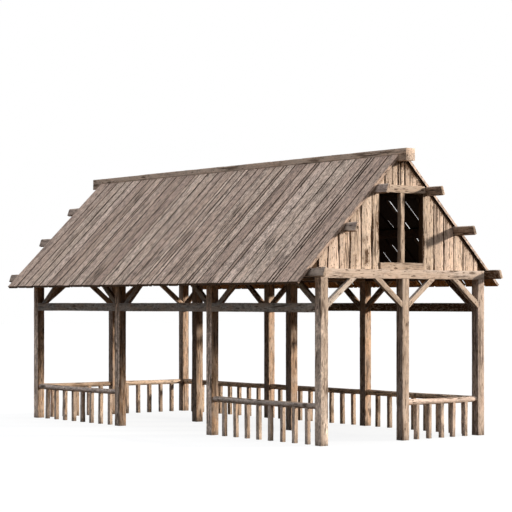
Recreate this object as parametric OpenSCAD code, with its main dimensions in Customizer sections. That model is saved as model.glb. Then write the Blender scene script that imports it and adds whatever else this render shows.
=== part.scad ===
// Open timber market stall: four braced frames carry a steep boarded gable roof.
// Lengths are in millimetres. X runs along the ridge, Y from front to back, Z up.

/* [Frames] */
// Side of the square posts
post_w = 185; // [140:5:220]
// Height of the posts, from the ground to the underside of the tie beams
post_h = 3270; // [2900:10:3800]
// Spacing of the frames in the two end bays, centre to centre
bay_end = 3520; // [2800:10:4200]
// Spacing of the frames in the middle bay, centre to centre
bay_mid = 3460; // [2800:10:4200]
// Spacing of the three post rows, centre to centre
row = 2174; // [1900:2:2600]
// Height of the tie beams and of the eaves beams between them
tie_h = 185; // [140:5:260]

/* [Girts and braces] */
// Distance from the underside of the tie beams down to the top of the girts
girt_drop = 488; // [400:2:700]
// Height of the girts along the two long sides
girt_h = 185; // [100:5:220]
// Thickness of the girts
girt_t = 95; // [60:5:140]
// Depth of the knee braces, square to their length
brace_d = 110; // [70:5:140]
// Thickness of the knee braces
brace_t = 90; // [60:5:140]
// Reach of the end frames' braces along the tie beam, from the face of the post
brace_reach = 750; // [550:5:900]
// Drop of the end frames' braces down the post
brace_drop = 590; // [450:5:700]
// Height of the feet of the eaves braces over the bottom of the girts they stand behind
brace_rise = 20; // [2:1:80]

/* [Roof] */
// Pitch of the two slopes, in degrees
pitch = 44; // [38:0.5:50]
// Height of the boards' underside over the tie beam, at the outer face of the posts
heel = 170; // [150:1:240]
// Thickness of the roof boards
roof_t = 65; // [40:1:80]
// Overhang of the boards' lower edge past the posts, measured level
eave_run = 507; // [420:1:700]
// Overhang of the roof past the gable boards at the left end
verge_left = 430; // [60:5:700]
// Overhang of the roof past the gable boards at the right end
verge_right = 40; // [20:5:700]
// Width of the ridge beam
ridge_w = 250; // [180:5:320]
// Height of the ridge beam
ridge_h = 254; // [200:2:320]
// Height of the ridge beam over the boards that butt into its sides
ridge_reveal = 123; // [60:1:150]
// Length of the ridge beam past the roof at the left end
ridge_out_left = 360; // [100:5:600]
// Length of the ridge beam past the roof at the right end
ridge_out_right = 225; // [100:5:600]

/* [Rafters and purlins] */
// Depth of the rafters, square to the slope
rafter_d = 200; // [190:5:240]
// Thickness of the rafters
rafter_t = 85; // [60:5:140]
// Thickness of the plank purlins
purlin_t = 67; // [40:1:80]
// Height of the plank purlins
purlin_h = 190; // [150:5:210]
// Lean of the purlins, top inwards, in degrees from upright
purlin_lean = 19.5; // [10:0.5:24]
// Height of the purlin's top corner planed off where the boards bear on it
purlin_bevel = 20; // [8:1:30]
// Distance of the low purlin's top corner out from the posts
purlin_low_out = 167; // [150:1:200]
// Distance of the mid purlin's top corner out from the middle of the ridge
purlin_mid_out = 1506; // [1300:1:1700]
// Distance of the top purlin's top corner out from the middle of the ridge
purlin_top_out = 690; // [640:1:900]
// Length of the purlins past the roof at the left end
purlin_out_left = 490; // [100:5:700]
// Length of the purlins past the roof at the right end
purlin_out_right = 410; // [100:5:700]
// Shift of the front mid purlin along X
front_mid_shift = -115; // [-200:5:200]
// Shift of the front top purlin along X
front_top_shift = -100; // [-200:5:200]
// Shift of the back mid purlin along X
back_mid_shift = 140; // [-200:5:200]
// Shift of the back top purlin along X
back_top_shift = 40; // [-200:5:200]

/* [Gables] */
// Lap of the end rafters on the tie beams, measured along X
rafter_lap = 30; // [10:1:40]
// Thickness of the gable boards
gable_t = 28; // [18:1:30]
// Distance of the last gable board in from the outer face of the corner post
gable_gap = 70; // [20:5:160]
// Width of the loft opening
loft_w = 1200; // [900:10:1300]
// Height of the sill board under the loft opening
sill_h = 142; // [80:2:220]
// Height of the collar over the loft opening
collar_h = 158; // [110:2:170]
// Width of the mullion in the loft opening
mullion_w = 110; // [80:5:200]
// Amount by which sill, collar and mullion stand proud of the gable boards
trim_proud = 30; // [10:1:60]
// Depth of the mullion behind the inner face of the gable boards
mullion_in = 42; // [10:1:80]
// Width of the jamb studs beside the loft opening
jamb_w = 100; // [60:5:120]
// Depth of the jamb studs behind the gable boards
jamb_in = 100; // [60:5:140]

/* [Railings] */
// Height of the top of the log rails
rail_top = 830; // [650:5:1100]
// Diameter of a log rail at its thick end
rail_butt = 132; // [90:1:160]
// Diameter of a log rail at its thin end
rail_tip = 118; // [80:1:150]
// Side of the square stakes under the rails
stake_w = 88; // [40:1:110]
// Distance from the end of a rail to its first stake, as a share of the stakes' spacing
stake_end = 0.85; // [0.5:0.05:1.5]
// Number of stakes in a bay of a long side
stakes_bay = 8; // [4:1:10]
// Number of stakes in half a gable end
stakes_gable = 5; // [3:1:7]

/* [Hidden] */
$fn = 48;

// Half of the width and length over the posts' outer faces
half_w = row + post_w / 2;
half_l = bay_mid / 2 + bay_end + post_w / 2;
tie_top = post_h + tie_h;
gable_inset = post_w - rafter_lap - gable_t;
girt_z = post_h - girt_drop - girt_h;
rail_z = rail_top - rail_butt / 2;

// Ends of the roof and of the longest timbers, measured from the middle of the frames
roof_left = -half_l + gable_inset - verge_left;
roof_right = half_l - gable_inset + verge_right;
front_shift = [0, front_mid_shift, front_top_shift];
back_shift = [0, back_mid_shift, back_top_shift];
end_left = roof_left - max(purlin_out_left - min(concat(front_shift, back_shift)), ridge_out_left);
end_right = roof_right + max(purlin_out_right + max(concat(front_shift, back_shift)), ridge_out_right);

// Middle of the frames along X, so that the origin is under the middle of the whole stall
mid_x = -(end_left + end_right) / 2;
frame_x = [for (x = [-bay_mid / 2 - bay_end, -bay_mid / 2, bay_mid / 2, bay_mid / 2 + bay_end]) mid_x + x];

// Roof planes, with y measured out from the middle of the ridge
board_rise = roof_t / cos(pitch);
rafter_rise = rafter_d / cos(pitch);
function underside(y) = tie_top + heel + (half_w - y) * tan(pitch);
ridge_top = underside(ridge_w / 2) + board_rise + ridge_reveal;
eave_y = half_w + eave_run;

// Top corners of the three purlins of a slope: low, mid and top
purlin_y = [half_w + purlin_low_out, purlin_mid_out, purlin_top_out];
function purlin_corner(k) = [purlin_y[k], underside(purlin_y[k]) + purlin_bevel];

collar_top = purlin_corner(2)[1];
collar_z = collar_top - collar_h;
sill_top = tie_top + sill_h;

// A size larger than the stall, for cutting planes
far = 4 * (half_w + ridge_top);

timber = [0.76, 0.63, 0.49];
shaded = [0.45, 0.40, 0.36];
boarding = [0.60, 0.54, 0.49];
stakewood = [0.72, 0.56, 0.42];

// Extrude a section drawn in the Y and Z plane from x0 to x1
module along_x(x0, x1) {
    translate([x0, 0, 0])
        rotate([90, 0, 90])
            linear_extrude(x1 - x0)
                children();
}

// Extrude a section drawn in the X and Z plane from y0 to y1
module along_y(y0, y1) {
    translate([0, y1, 0])
        rotate([90, 0, 0])
            linear_extrude(y1 - y0)
                children();
}

// Sections are drawn for the back slope and mirrored for the front one
module on_side(front) {
    if (front)
        mirror([1, 0, 0])
            children();
    else
        children();
}

// Everything under the roof boards, out to the given distance from the ridge
module under_roof(y_max) {
    polygon([[0, 0], [y_max, 0], [y_max, underside(y_max)], [0, underside(0)]]);
}

module ridge_section() {
    translate([-ridge_w / 2, ridge_top - ridge_h])
        square([ridge_w, ridge_h]);
}

// Plank of a purlin, leaning inwards, before its top corner is planed
module purlin_plank(k) {
    translate(purlin_corner(k))
        rotate(purlin_lean)
            translate([-purlin_t, -purlin_h])
                square([purlin_t, purlin_h]);
}

// Purlin with its top corner planed to bear on the boards
module purlin_section(k) {
    intersection() {
        purlin_plank(k);
        under_roof(eave_y);
    }
}

// Rafter with trenches for the purlins, a cradle for the ridge and a seat on the tie beam
module rafter_section() {
    tail_y = purlin_y[0];
    difference() {
        polygon([[0, underside(0)], [0, underside(0) - rafter_rise],
            [tail_y, underside(tail_y) - rafter_rise], [tail_y, underside(tail_y)]]);
        ridge_section();
        for (k = [0:2])
            purlin_plank(k);
        translate([half_w - far, tie_top - far])
            square([far, far]);
        translate([0, post_h - far])
            square([far, far]);
    }
}

// Knee brace in the corner under a beam, with the post's face on the left
module brace_section(reach, drop) {
    slope = atan2(drop, reach);
    polygon([[0, -drop], [reach, 0],
        [reach - brace_d / sin(slope), 0], [0, -drop + brace_d / cos(slope)]]);
}

// One row of four posts
module post_row(y) {
    color(timber)
        for (x = frame_x)
            translate([x - post_w / 2, y - post_w / 2, 0])
                cube([post_w, post_w, post_h]);
}

module tie_beam(i) {
    color(timber)
        translate([frame_x[i] - post_w / 2, -half_w, post_h])
            cube([post_w, 2 * half_w, tie_h]);
}

// A beam in each bay, between the faces of the frames, out to the given outer face
module bay_beams(front, thickness, z, height) {
    color(shaded)
        for (i = [0:2])
            along_x(frame_x[i] + post_w / 2, frame_x[i + 1] - post_w / 2)
                on_side(front)
                    translate([half_w - thickness, z])
                        square([thickness, height]);
}

module eaves_beams(front) {
    bay_beams(front, post_w, post_h, tie_h);
}

module girts(front) {
    bay_beams(front, girt_t, girt_z, girt_h);
}

// Four braces of a frame, flush with its right face: two on the middle post, one on each outer post
module frame_braces(i) {
    face = frame_x[i] + post_w / 2;
    color(timber)
        along_x(face - brace_t, face)
            for (front = [true, false])
                on_side(front) {
                    translate([post_w / 2, post_h])
                        brace_section(brace_reach, brace_drop);
                    translate([half_w - post_w, post_h])
                        mirror([1, 0, 0])
                            brace_section(brace_reach, brace_drop);
                }
}

// Two braces in each bay of a long side, up to the eaves beam from behind the girt
module eaves_braces(front) {
    drop = girt_drop + girt_h - brace_rise;
    reach = drop * brace_reach / brace_drop;
    inner = half_w - girt_t - brace_t;
    y0 = front ? -inner - brace_t : inner;
    color(shaded)
        along_y(y0, y0 + brace_t)
            for (i = [0:2]) {
                translate([frame_x[i] + post_w / 2, post_h])
                    brace_section(reach, drop);
                translate([frame_x[i + 1] - post_w / 2, post_h])
                    mirror([1, 0, 0])
                        brace_section(reach, drop);
            }
}

// End rafters stand just inside the gable boards, the others over their tie beams
module rafters(front) {
    inset = gable_inset + gable_t;
    starts = [mid_x - half_l + inset, frame_x[1] - rafter_t / 2,
        frame_x[2] - rafter_t / 2, mid_x + half_l - inset - rafter_t];
    color(shaded)
        for (x = starts)
            along_x(x, x + rafter_t)
                on_side(front)
                    rafter_section();
}

module ridge_beam() {
    color(timber)
        along_x(mid_x + roof_left - ridge_out_left, mid_x + roof_right + ridge_out_right)
            ridge_section();
}

module purlin(front, k) {
    x = mid_x + (front ? front_shift[k] : back_shift[k]);
    color(shaded)
        along_x(x + roof_left - purlin_out_left, x + roof_right + purlin_out_right)
            on_side(front)
                purlin_section(k);
}

// Boarded slope, square at the eave and butting into the side of the ridge beam
module roof_slope(front) {
    y0 = ridge_w / 2;
    color(boarding)
        along_x(mid_x + roof_left, mid_x + roof_right)
            on_side(front)
                polygon([[y0, underside(y0)], [eave_y, underside(eave_y)],
                    [eave_y + roof_t * sin(pitch), underside(eave_y) + roof_t * cos(pitch)],
                    [y0, underside(y0) + board_rise]]);
}

// Put a section at a gable, with the given depths in and out from the inner face of its boards
module on_gable(left, inwards, outwards) {
    inner = half_l - gable_inset - gable_t;
    if (left)
        along_x(mid_x - inner - outwards, mid_x - inner + inwards)
            children();
    else
        along_x(mid_x + inner - inwards, mid_x + inner + outwards)
            children();
}

// Boards on both sides of the loft opening and over the collar, cut round the purlins
module gable_boards(left) {
    color(timber)
        on_gable(left, 0, gable_t) {
            for (front = [true, false])
                on_side(front)
                    difference() {
                        under_roof(half_w - gable_gap);
                        square([loft_w / 2, far]);
                        square([far, tie_top]);
                        translate([0, collar_z])
                            square([purlin_top_out, far]);
                        for (k = [1, 2])
                            purlin_plank(k);
                    }
            difference() {
                union() {
                    under_roof(purlin_top_out);
                    mirror([1, 0, 0])
                        under_roof(purlin_top_out);
                }
                translate([-far / 2, collar_top - far])
                    square([far, far]);
                ridge_section();
                for (front = [true, false])
                    on_side(front)
                        purlin_plank(2);
            }
        }
}

// Collar between the two top purlins, cut to their lean
module collar(left) {
    color(timber)
        on_gable(left, 0, gable_t + trim_proud)
            difference() {
                translate([-purlin_top_out, collar_z])
                    square([2 * purlin_top_out, collar_h]);
                for (front = [true, false])
                    on_side(front)
                        translate(purlin_corner(2))
                            rotate(purlin_lean)
                                translate([-purlin_t, -far])
                                    square([far, 2 * far]);
            }
}

module mullion(left) {
    color(timber)
        on_gable(left, mullion_in, gable_t + trim_proud)
            translate([-mullion_w / 2, sill_top])
                square([mullion_w, collar_z - sill_top]);
}

module sill(left) {
    color(timber)
        on_gable(left, 0, gable_t + trim_proud)
            translate([-loft_w / 2, tie_top])
                square([loft_w, sill_h]);
}

// Studs on both sides of the loft openings, from the tie beam up to the rafter
module loft_jambs() {
    y0 = loft_w / 2;
    y1 = y0 + jamb_w;
    color(shaded)
        for (left = [true, false], front = [true, false])
            on_gable(left, jamb_in, 0)
                on_side(front)
                    polygon([[y0, tie_top], [y1, tie_top],
                        [y1, underside(y1) - rafter_rise], [y0, underside(y0) - rafter_rise]]);
}

// Log rail along X from the origin, on stakes that stand on the ground
module railing(length, stakes) {
    spacing = length / (stakes - 1 + 2 * stake_end);
    color(stakewood)
        union() {
            translate([0, 0, rail_z])
                rotate([0, 90, 0])
                    cylinder(h = length, d1 = rail_butt, d2 = rail_tip);
            for (k = [0:stakes - 1])
                translate([(k + stake_end) * spacing - stake_w / 2, -stake_w / 2, 0])
                    cube([stake_w, stake_w, rail_z]);
        }
}

// Railing in a bay of a long side
module long_railing(bay, front) {
    translate([frame_x[bay] + post_w / 2, front ? -row : row, 0])
        railing(frame_x[bay + 1] - frame_x[bay] - post_w, stakes_bay);
}

// Railing in half of a gable end
module gable_railing(i, front) {
    translate([frame_x[i], (front ? -row : 0) + post_w / 2, 0])
        rotate([0, 0, 90])
            railing(row - post_w, stakes_gable);
}

post_row(-row);  // front_posts
post_row(0);  // middle_posts
post_row(row);  // back_posts
tie_beam(0);  // tie_beam_1
tie_beam(1);  // tie_beam_2
tie_beam(2);  // tie_beam_3
tie_beam(3);  // tie_beam_4
eaves_beams(true);  // front_eaves_beams
eaves_beams(false);  // back_eaves_beams
girts(true);  // front_girts
girts(false);  // back_girts
frame_braces(0);  // frame_braces_1
frame_braces(3);  // frame_braces_4
eaves_braces(true);  // front_eaves_braces
eaves_braces(false);  // back_eaves_braces
rafters(true);  // front_rafters
rafters(false);  // back_rafters
ridge_beam();
purlin(true, 0);  // front_low_purlin
purlin(true, 1);  // front_mid_purlin
purlin(true, 2);  // front_top_purlin
purlin(false, 0);  // back_low_purlin
purlin(false, 1);  // back_mid_purlin
purlin(false, 2);  // back_top_purlin
roof_slope(true);  // front_roof
roof_slope(false);  // back_roof
gable_boards(true);  // left_gable_boards
gable_boards(false);  // right_gable_boards
collar(true);  // left_collar
collar(false);  // right_collar
mullion(true);  // left_mullion
mullion(false);  // right_mullion
sill(true);  // left_sill
sill(false);  // right_sill
loft_jambs();
long_railing(0, true);  // front_left_railing
long_railing(2, true);  // front_right_railing
long_railing(0, false);  // back_left_railing
long_railing(1, false);  // back_middle_railing
long_railing(2, false);  // back_right_railing
gable_railing(0, true);  // left_front_railing
gable_railing(0, false);  // left_back_railing
gable_railing(3, false);  // right_back_railing
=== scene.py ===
"""Looks of an open timber market stall: hewn frame, boarded roof and gables, log railings.

Every piece is made in metres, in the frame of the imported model, and stands for a node of it.
"""
import logging
import math
import random
from dataclasses import dataclass, field, replace
from enum import Enum
from typing import ClassVar, NamedTuple

import bmesh
import bpy
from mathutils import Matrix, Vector, kdtree, noise


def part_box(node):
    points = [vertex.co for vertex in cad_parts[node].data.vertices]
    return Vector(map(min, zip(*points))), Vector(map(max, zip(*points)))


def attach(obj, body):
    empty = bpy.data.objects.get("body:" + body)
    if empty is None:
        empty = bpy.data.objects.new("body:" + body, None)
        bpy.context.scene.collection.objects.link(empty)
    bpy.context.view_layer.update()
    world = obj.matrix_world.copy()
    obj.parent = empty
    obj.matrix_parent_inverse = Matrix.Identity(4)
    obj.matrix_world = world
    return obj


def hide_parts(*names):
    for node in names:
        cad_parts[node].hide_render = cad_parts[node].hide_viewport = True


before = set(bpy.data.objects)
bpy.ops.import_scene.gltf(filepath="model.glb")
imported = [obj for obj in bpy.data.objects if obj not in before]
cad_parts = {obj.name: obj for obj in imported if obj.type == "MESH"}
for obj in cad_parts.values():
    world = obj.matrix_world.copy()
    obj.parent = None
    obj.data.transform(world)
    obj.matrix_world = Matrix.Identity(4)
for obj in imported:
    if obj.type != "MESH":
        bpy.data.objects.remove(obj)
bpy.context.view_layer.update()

log = logging.getLogger("stall")

Triple = tuple[float, float, float]
Colour = Triple
Span = tuple[float, float]
Face = tuple[int, ...]
Spot = tuple[Vector, Vector]
Socket = bpy.types.NodeSocket
BODY = "root"
WHITE: Colour = (1.0, 1.0, 1.0)

# Distances within which points are merged or count as level, and the angle within which faces are flat.
WELD = 1e-5
NEAR = 1e-4
FLAT = math.radians(1.0)

# How far each timber's grain is shifted along the patterns, so that no two look alike.
GRAIN_SHIFT: Span = (0.0, 60.0)


class Slot(Enum):
    """The material slots of the record."""

    FRAME = "frame_timber"
    ROOF = "roof_boards"
    GABLE = "gable_boards"
    RAILING = "railing"


class Side(Enum):
    """The two long sides, by the sign of Y."""

    FRONT = -1
    BACK = 1


class Pattern(Enum):
    """Noise patterns of wood: waves per metre along the grain and across it, and finer octaves."""

    SWAY = (0.9, 5.0, 2.0)
    BROAD_STREAK = (0.75, 24.0, 3.0)
    FINE_STREAK = (5.0, 170.0, 3.0)
    DASHES = (4.0, 15.0, 5.0)
    SPECKS = (9.0, 26.0, 2.0)
    GRIT = (24.0, 52.0, 1.0)
    CRACK_LINES = (0.5, 11.0, 2.5)
    CRACKED_AREAS = (0.9, 3.0, 1.0)
    PITS = (6.0, 36.0, 1.0)
    GREY_STREAKS = (0.35, 7.0, 3.0)
    GREY_PATCHES = (1.1, 2.5, 2.0)
    DAMP = (1.4, 6.0, 4.0)
    WEAR = (3.0, 9.0, 3.0)


class Slit(NamedTuple):
    """Daylight through a joint: its place along the ridge, its ends as shares of the slope, its width."""

    joint: float
    upper: float
    lower: float
    width: float


class BarkSpot(NamedTuple):
    """Bark left on a gable: its place, its half height and its amount."""

    y: float
    z: float
    reach: float
    amount: float


def ease(value: float) -> float:
    """Return value held between 0 and 1 with a smooth start and end."""
    held = min(1.0, max(0.0, value))
    return held * held * (3.0 - 2.0 * held)


def ripple(x: float, y: float, z: float) -> float:
    """Return smooth noise from about -1 to 1 at a point."""
    return noise.noise(Vector((x, y, z)))


def source_of(*words: object) -> random.Random:
    """Return a source of random numbers that depends on the words alone."""
    return random.Random(" ".join(str(word) for word in words))


def put_in_scene(name: str, data: bpy.types.ID) -> bpy.types.Object:
    """Make an object of the scene.

    Args:
        name: Name of the object.
        data: Its mesh, camera or light.

    Returns:
        The new object.
    """
    made = bpy.data.objects.new(name, data)
    bpy.context.scene.collection.objects.link(made)
    return made


class Wiring:
    """Short hand for placing and joining shader nodes in one tree."""

    def __init__(self, tree: bpy.types.NodeTree) -> None:
        """Work in the given tree."""
        self.tree = tree

    @classmethod
    def of_material(cls, name: str) -> tuple[bpy.types.Material, "Wiring"]:
        """Start a material.

        Args:
            name: Name of the material.

        Returns:
            The empty material and its wiring.
        """
        made = bpy.data.materials.new(name)
        made.use_nodes = True
        made.node_tree.nodes.clear()
        return made, cls(made.node_tree)

    def close(self, shader: Socket, kind: str = "Material") -> None:
        """Lead a shader to the output of the tree."""
        self.feed(self.node("ShaderNodeOutput" + kind).inputs["Surface"], shader)

    def node(self, kind: str, **settings: object) -> bpy.types.Node:
        """Add a node.

        Args:
            kind: Blender's name of the node type.
            settings: Properties of the node to set.

        Returns:
            The new node.
        """
        made = self.tree.nodes.new(kind)
        for name, value in settings.items():
            setattr(made, name, value)
        return made

    def feed(self, socket: Socket, value: object) -> None:
        """Link a socket into another one, or set its plain value.

        Args:
            socket: The input to feed.
            value: Another socket, or a plain value.
        """
        if isinstance(value, Socket):
            self.tree.links.new(value, socket)
        elif isinstance(value, tuple) and socket.type == "RGBA":
            socket.default_value = (*value, 1.0)
        else:
            socket.default_value = value

    def _fed(self, kind: str, operation: str, values: tuple) -> bpy.types.NodeOutputs:
        """Add a node and feed its inputs in order.

        Args:
            kind: Blender's name of the node type.
            operation: What the node does.
            values: Sockets or plain values.

        Returns:
            The outputs of the node.
        """
        made = self.node(kind, operation=operation)
        for socket, value in zip(made.inputs, values):
            self.feed(socket, value)
        return made.outputs

    def math(self, operation: str, *values: object) -> Socket:
        """Return the result of a math node on the values."""
        return self._fed("ShaderNodeMath", operation, values)[0]

    def vector(self, operation: str, *values: object) -> Socket:
        """Return the vector result of a vector math node on the values."""
        return self._fed("ShaderNodeVectorMath", operation, values)["Vector"]

    def length(self, vector: Socket) -> Socket:
        """Return the length of a vector."""
        return self._fed("ShaderNodeVectorMath", "LENGTH", (vector,))["Value"]

    def times(self, first: object, second: object) -> Socket:
        """Return the product of two values."""
        return self.math("MULTIPLY", first, second)

    def plus(self, first: object, second: object) -> Socket:
        """Return the sum of two values."""
        return self.math("ADD", first, second)

    def minus(self, first: object, second: object) -> Socket:
        """Return the first value less the second one."""
        return self.math("SUBTRACT", first, second)

    def larger(self, first: object, second: object) -> Socket:
        """Return the larger one of two values."""
        return self.math("MAXIMUM", first, second)

    def scaled(self, value: object, factor: object, offset: object) -> Socket:
        """Return a value times a factor, plus an offset."""
        return self.math("MULTIPLY_ADD", value, factor, offset)

    def parts(self, vector: Socket) -> bpy.types.NodeOutputs:
        """Take a vector apart.

        Args:
            vector: The vector.

        Returns:
            The outputs X, Y and Z.
        """
        made = self.node("ShaderNodeSeparateXYZ")
        self.feed(made.inputs[0], vector)
        return made.outputs

    def attribute(self, name: str, kind: str = "Fac") -> Socket:
        """Return an attribute of the mesh."""
        return self.node("ShaderNodeAttribute", attribute_name=name).outputs[kind]

    def group(self, tree: bpy.types.NodeTree, **values: object) -> bpy.types.NodeOutputs:
        """Place a shared group and feed it.

        Args:
            tree: The group.
            values: What each of its inputs gets.

        Returns:
            The outputs of the group.
        """
        made = self.node("ShaderNodeGroup", node_tree=tree)
        for name, value in values.items():
            self.feed(made.inputs[name], value)
        return made.outputs

    def step(self, value: Socket, low: object, high: object) -> Socket:
        """Make a smooth step.

        Args:
            value: What is compared.
            low: Where the step starts, which may be the larger one.
            high: Where the step ends.

        Returns:
            0 before the start, 1 past the end and a smooth change between.
        """
        made = self.node("ShaderNodeMapRange", interpolation_type="SMOOTHSTEP")
        for name, given in (("Value", value), ("From Min", low), ("From Max", high)):
            self.feed(made.inputs[name], given)
        return made.outputs["Result"]

    def noise(self, place: Socket, stretch: Triple, detail: float = 2.0) -> Socket:
        """Return a noise value from 0 to 1.

        Args:
            place: Coordinates in metres.
            stretch: Waves per metre along each axis.
            detail: Number of finer octaves.

        Returns:
            The noise value.
        """
        made = self.node("ShaderNodeTexNoise")
        self.feed(made.inputs["Vector"], self.vector("MULTIPLY", place, stretch))
        made.inputs["Scale"].default_value = 1.0
        made.inputs["Detail"].default_value = detail
        return made.outputs["Fac"]

    def pattern(self, grain: Socket, kind: Pattern) -> Socket:
        """Return one of the noise patterns of wood."""
        along, across, detail = kind.value
        return self.noise(grain, (along, across, across), detail)

    def mix(self, factor: object, first: object, second: object, blend: str = "MIX") -> Socket:
        """Mix two colours.

        Args:
            factor: 0 for the first colour, 1 for the second.
            first: The first colour.
            second: The second colour.
            blend: Blender's name of the way of mixing.

        Returns:
            The mixed colour.
        """
        made = self.node("ShaderNodeMix", data_type="RGBA", blend_type=blend)
        for place, given in ((0, factor), (6, first), (7, second)):
            self.feed(made.inputs[place], given)
        return made.outputs[2]


class SharedEffects:
    """Shader node groups that several finishes share, each built once."""

    def __init__(self) -> None:
        """Build all groups."""
        self.grain = self._grain()
        self.weathering = self._weathering()
        self.arris_wear = self._arris_wear()
        self.ground_soil = self._ground_soil()

    @staticmethod
    def _open(name: str, inputs: dict[str, str], outputs: dict[str, str]) -> tuple[Wiring, dict, dict]:
        """Start a group.

        Args:
            name: Name of the group.
            inputs: Name and kind of each input socket.
            outputs: Name and kind of each output socket.

        Returns:
            The wiring, the inner ends of the inputs and the inner ends of the outputs.
        """
        tree = bpy.data.node_groups.new(name, "ShaderNodeTree")
        for direction, sockets in (("INPUT", inputs), ("OUTPUT", outputs)):
            for label, kind in sockets.items():
                tree.interface.new_socket(label, in_out=direction, socket_type="NodeSocket" + kind)
        wiring = Wiring(tree)
        return wiring, wiring.node("NodeGroupInput").outputs, wiring.node("NodeGroupOutput").inputs

    def _grain(self) -> bpy.types.NodeTree:
        """Growth rings, streaks, mottling, knots and drying cracks along the first axis of Grain.

        Returns:
            The group.
        """
        wiring, given, out = self._open(
            "wood_grain",
            {"Grain": "Vector", "Rings": "Float", "Knots": "Float", "Cracks": "Float"},
            {"Figure": "Float", "Streak": "Float", "Mottle": "Float", "Knot": "Float", "Crack": "Float",
             "Height": "Float"})
        grain = given["Grain"]
        sway = wiring.pattern(grain, Pattern.SWAY)
        cells = wiring.node("ShaderNodeTexVoronoi", feature="F1")
        wiring.feed(cells.inputs["Vector"], wiring.vector("MULTIPLY", grain, (1.5, 5.0, 5.0)))
        cells.inputs["Scale"].default_value = 1.0
        pick = wiring.node("ShaderNodeSeparateColor")
        wiring.feed(pick.inputs[0], cells.outputs["Color"])
        present = wiring.math("LESS_THAN", pick.outputs[0], given["Knots"])
        reach = wiring.plus(cells.outputs["Distance"], wiring.times(sway, 0.08))
        knot = wiring.times(wiring.step(reach, 0.25, 0.14), present)
        halo = wiring.times(wiring.step(reach, 0.62, 0.12), present)
        across = wiring.vector("MULTIPLY", grain, (0.0, 1.0, 1.0))
        bent = wiring.plus(wiring.length(across), wiring.times(sway, 0.06))
        bent = wiring.plus(bent, wiring.times(halo, 0.03))
        turns = wiring.times(wiring.times(bent, given["Rings"]), math.tau)
        band = wiring.scaled(wiring.math("SINE", turns), 0.5, 0.5)
        wiring.feed(out["Figure"], wiring.math("POWER", band, 1.8))
        broad = wiring.pattern(grain, Pattern.BROAD_STREAK)
        fine = wiring.pattern(grain, Pattern.FINE_STREAK)
        wiring.feed(out["Streak"], wiring.scaled(fine, 0.3, wiring.times(broad, 0.7)))
        dashes = wiring.pattern(grain, Pattern.DASHES)
        specks = wiring.step(wiring.pattern(grain, Pattern.SPECKS), 0.36, 0.64)
        grit = wiring.step(wiring.pattern(grain, Pattern.GRIT), 0.42, 0.58)
        mottle = wiring.scaled(dashes, 0.35, wiring.times(specks, 0.40))
        wiring.feed(out["Mottle"], wiring.scaled(grit, 0.25, mottle))
        seam = wiring.pattern(grain, Pattern.CRACK_LINES)
        line = wiring.step(wiring.math("ABSOLUTE", wiring.minus(seam, 0.5)), 0.05, 0.004)
        rarest = wiring.minus(0.72, wiring.times(given["Cracks"], 0.11))
        pits = wiring.pattern(grain, Pattern.PITS)
        pits = wiring.step(pits, rarest, wiring.plus(rarest, 0.07))
        where = wiring.pattern(grain, Pattern.CRACKED_AREAS)
        limit = wiring.minus(0.78, wiring.times(given["Cracks"], 0.36))
        open_here = wiring.step(where, limit, wiring.plus(limit, 0.09))
        crack = wiring.larger(wiring.times(line, open_here), pits)
        wiring.feed(out["Knot"], knot)
        wiring.feed(out["Crack"], crack)
        height = wiring.scaled(broad, 0.5, wiring.times(fine, 0.35))
        height = wiring.scaled(band, 0.12, height)
        height = wiring.minus(height, wiring.times(crack, 1.2))
        wiring.feed(out["Height"], wiring.scaled(knot, 0.25, height))
        return wiring.tree

    def _weathering(self) -> bpy.types.NodeTree:
        """Grey weathering in streaks, with dark damp stains.

        Returns:
            The group.
        """
        wiring, given, out = self._open(
            "weathering",
            {"Color": "Color", "Grey": "Color", "Stain": "Color", "Grain": "Vector",
             "Amount": "Float", "Stains": "Float"},
            {"Color": "Color"})
        grain = given["Grain"]
        long_streak = wiring.pattern(grain, Pattern.GREY_STREAKS)
        patch = wiring.pattern(grain, Pattern.GREY_PATCHES)
        uneven = wiring.plus(long_streak, wiring.times(patch, 0.6))
        weathered = wiring.step(wiring.plus(uneven, given["Amount"]), 0.95, 1.65)
        worn = wiring.mix(weathered, given["Color"], given["Grey"])
        damp = wiring.pattern(grain, Pattern.DAMP)
        limit = wiring.minus(0.8, wiring.times(given["Stains"], 0.3))
        stained = wiring.step(damp, limit, wiring.plus(limit, 0.16))
        wiring.feed(out["Color"], wiring.mix(wiring.times(stained, 0.75), worn, given["Stain"]))
        return wiring.tree

    def _arris_wear(self) -> bpy.types.NodeTree:
        """Pale rubbed arrises, broken up along the timber.

        Returns:
            The group.
        """
        wiring, given, out = self._open(
            "arris_wear",
            {"Color": "Color", "Pale": "Color", "Arris": "Float", "Grain": "Vector"},
            {"Color": "Color"})
        patch = wiring.pattern(given["Grain"], Pattern.WEAR)
        wear = wiring.times(wiring.step(given["Arris"], 0.86, 0.99), wiring.step(patch, 0.42, 0.62))
        wear = wiring.times(wear, 0.6)
        wiring.feed(out["Color"], wiring.mix(wear, given["Color"], given["Pale"]))
        return wiring.tree

    def _ground_soil(self) -> bpy.types.NodeTree:
        """Damp and soil that climb a timber from the ground.

        Returns:
            The group.
        """
        wiring, given, out = self._open(
            "ground_soil", {"Color": "Color", "Soil": "Color", "Reach": "Float"},
            {"Color": "Color"})
        place = wiring.node("ShaderNodeNewGeometry").outputs["Position"]
        fringe = wiring.noise(place, (9.0, 9.0, 2.0), 3.0)
        level = wiring.math("DIVIDE", wiring.parts(place)["Z"], given["Reach"])
        level = wiring.plus(level, wiring.times(fringe, 0.8))
        soiled = wiring.times(wiring.step(level, 1.2, 0.25), 0.45)
        wiring.feed(out["Color"], wiring.mix(soiled, given["Color"], given["Soil"]))
        return wiring.tree


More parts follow.
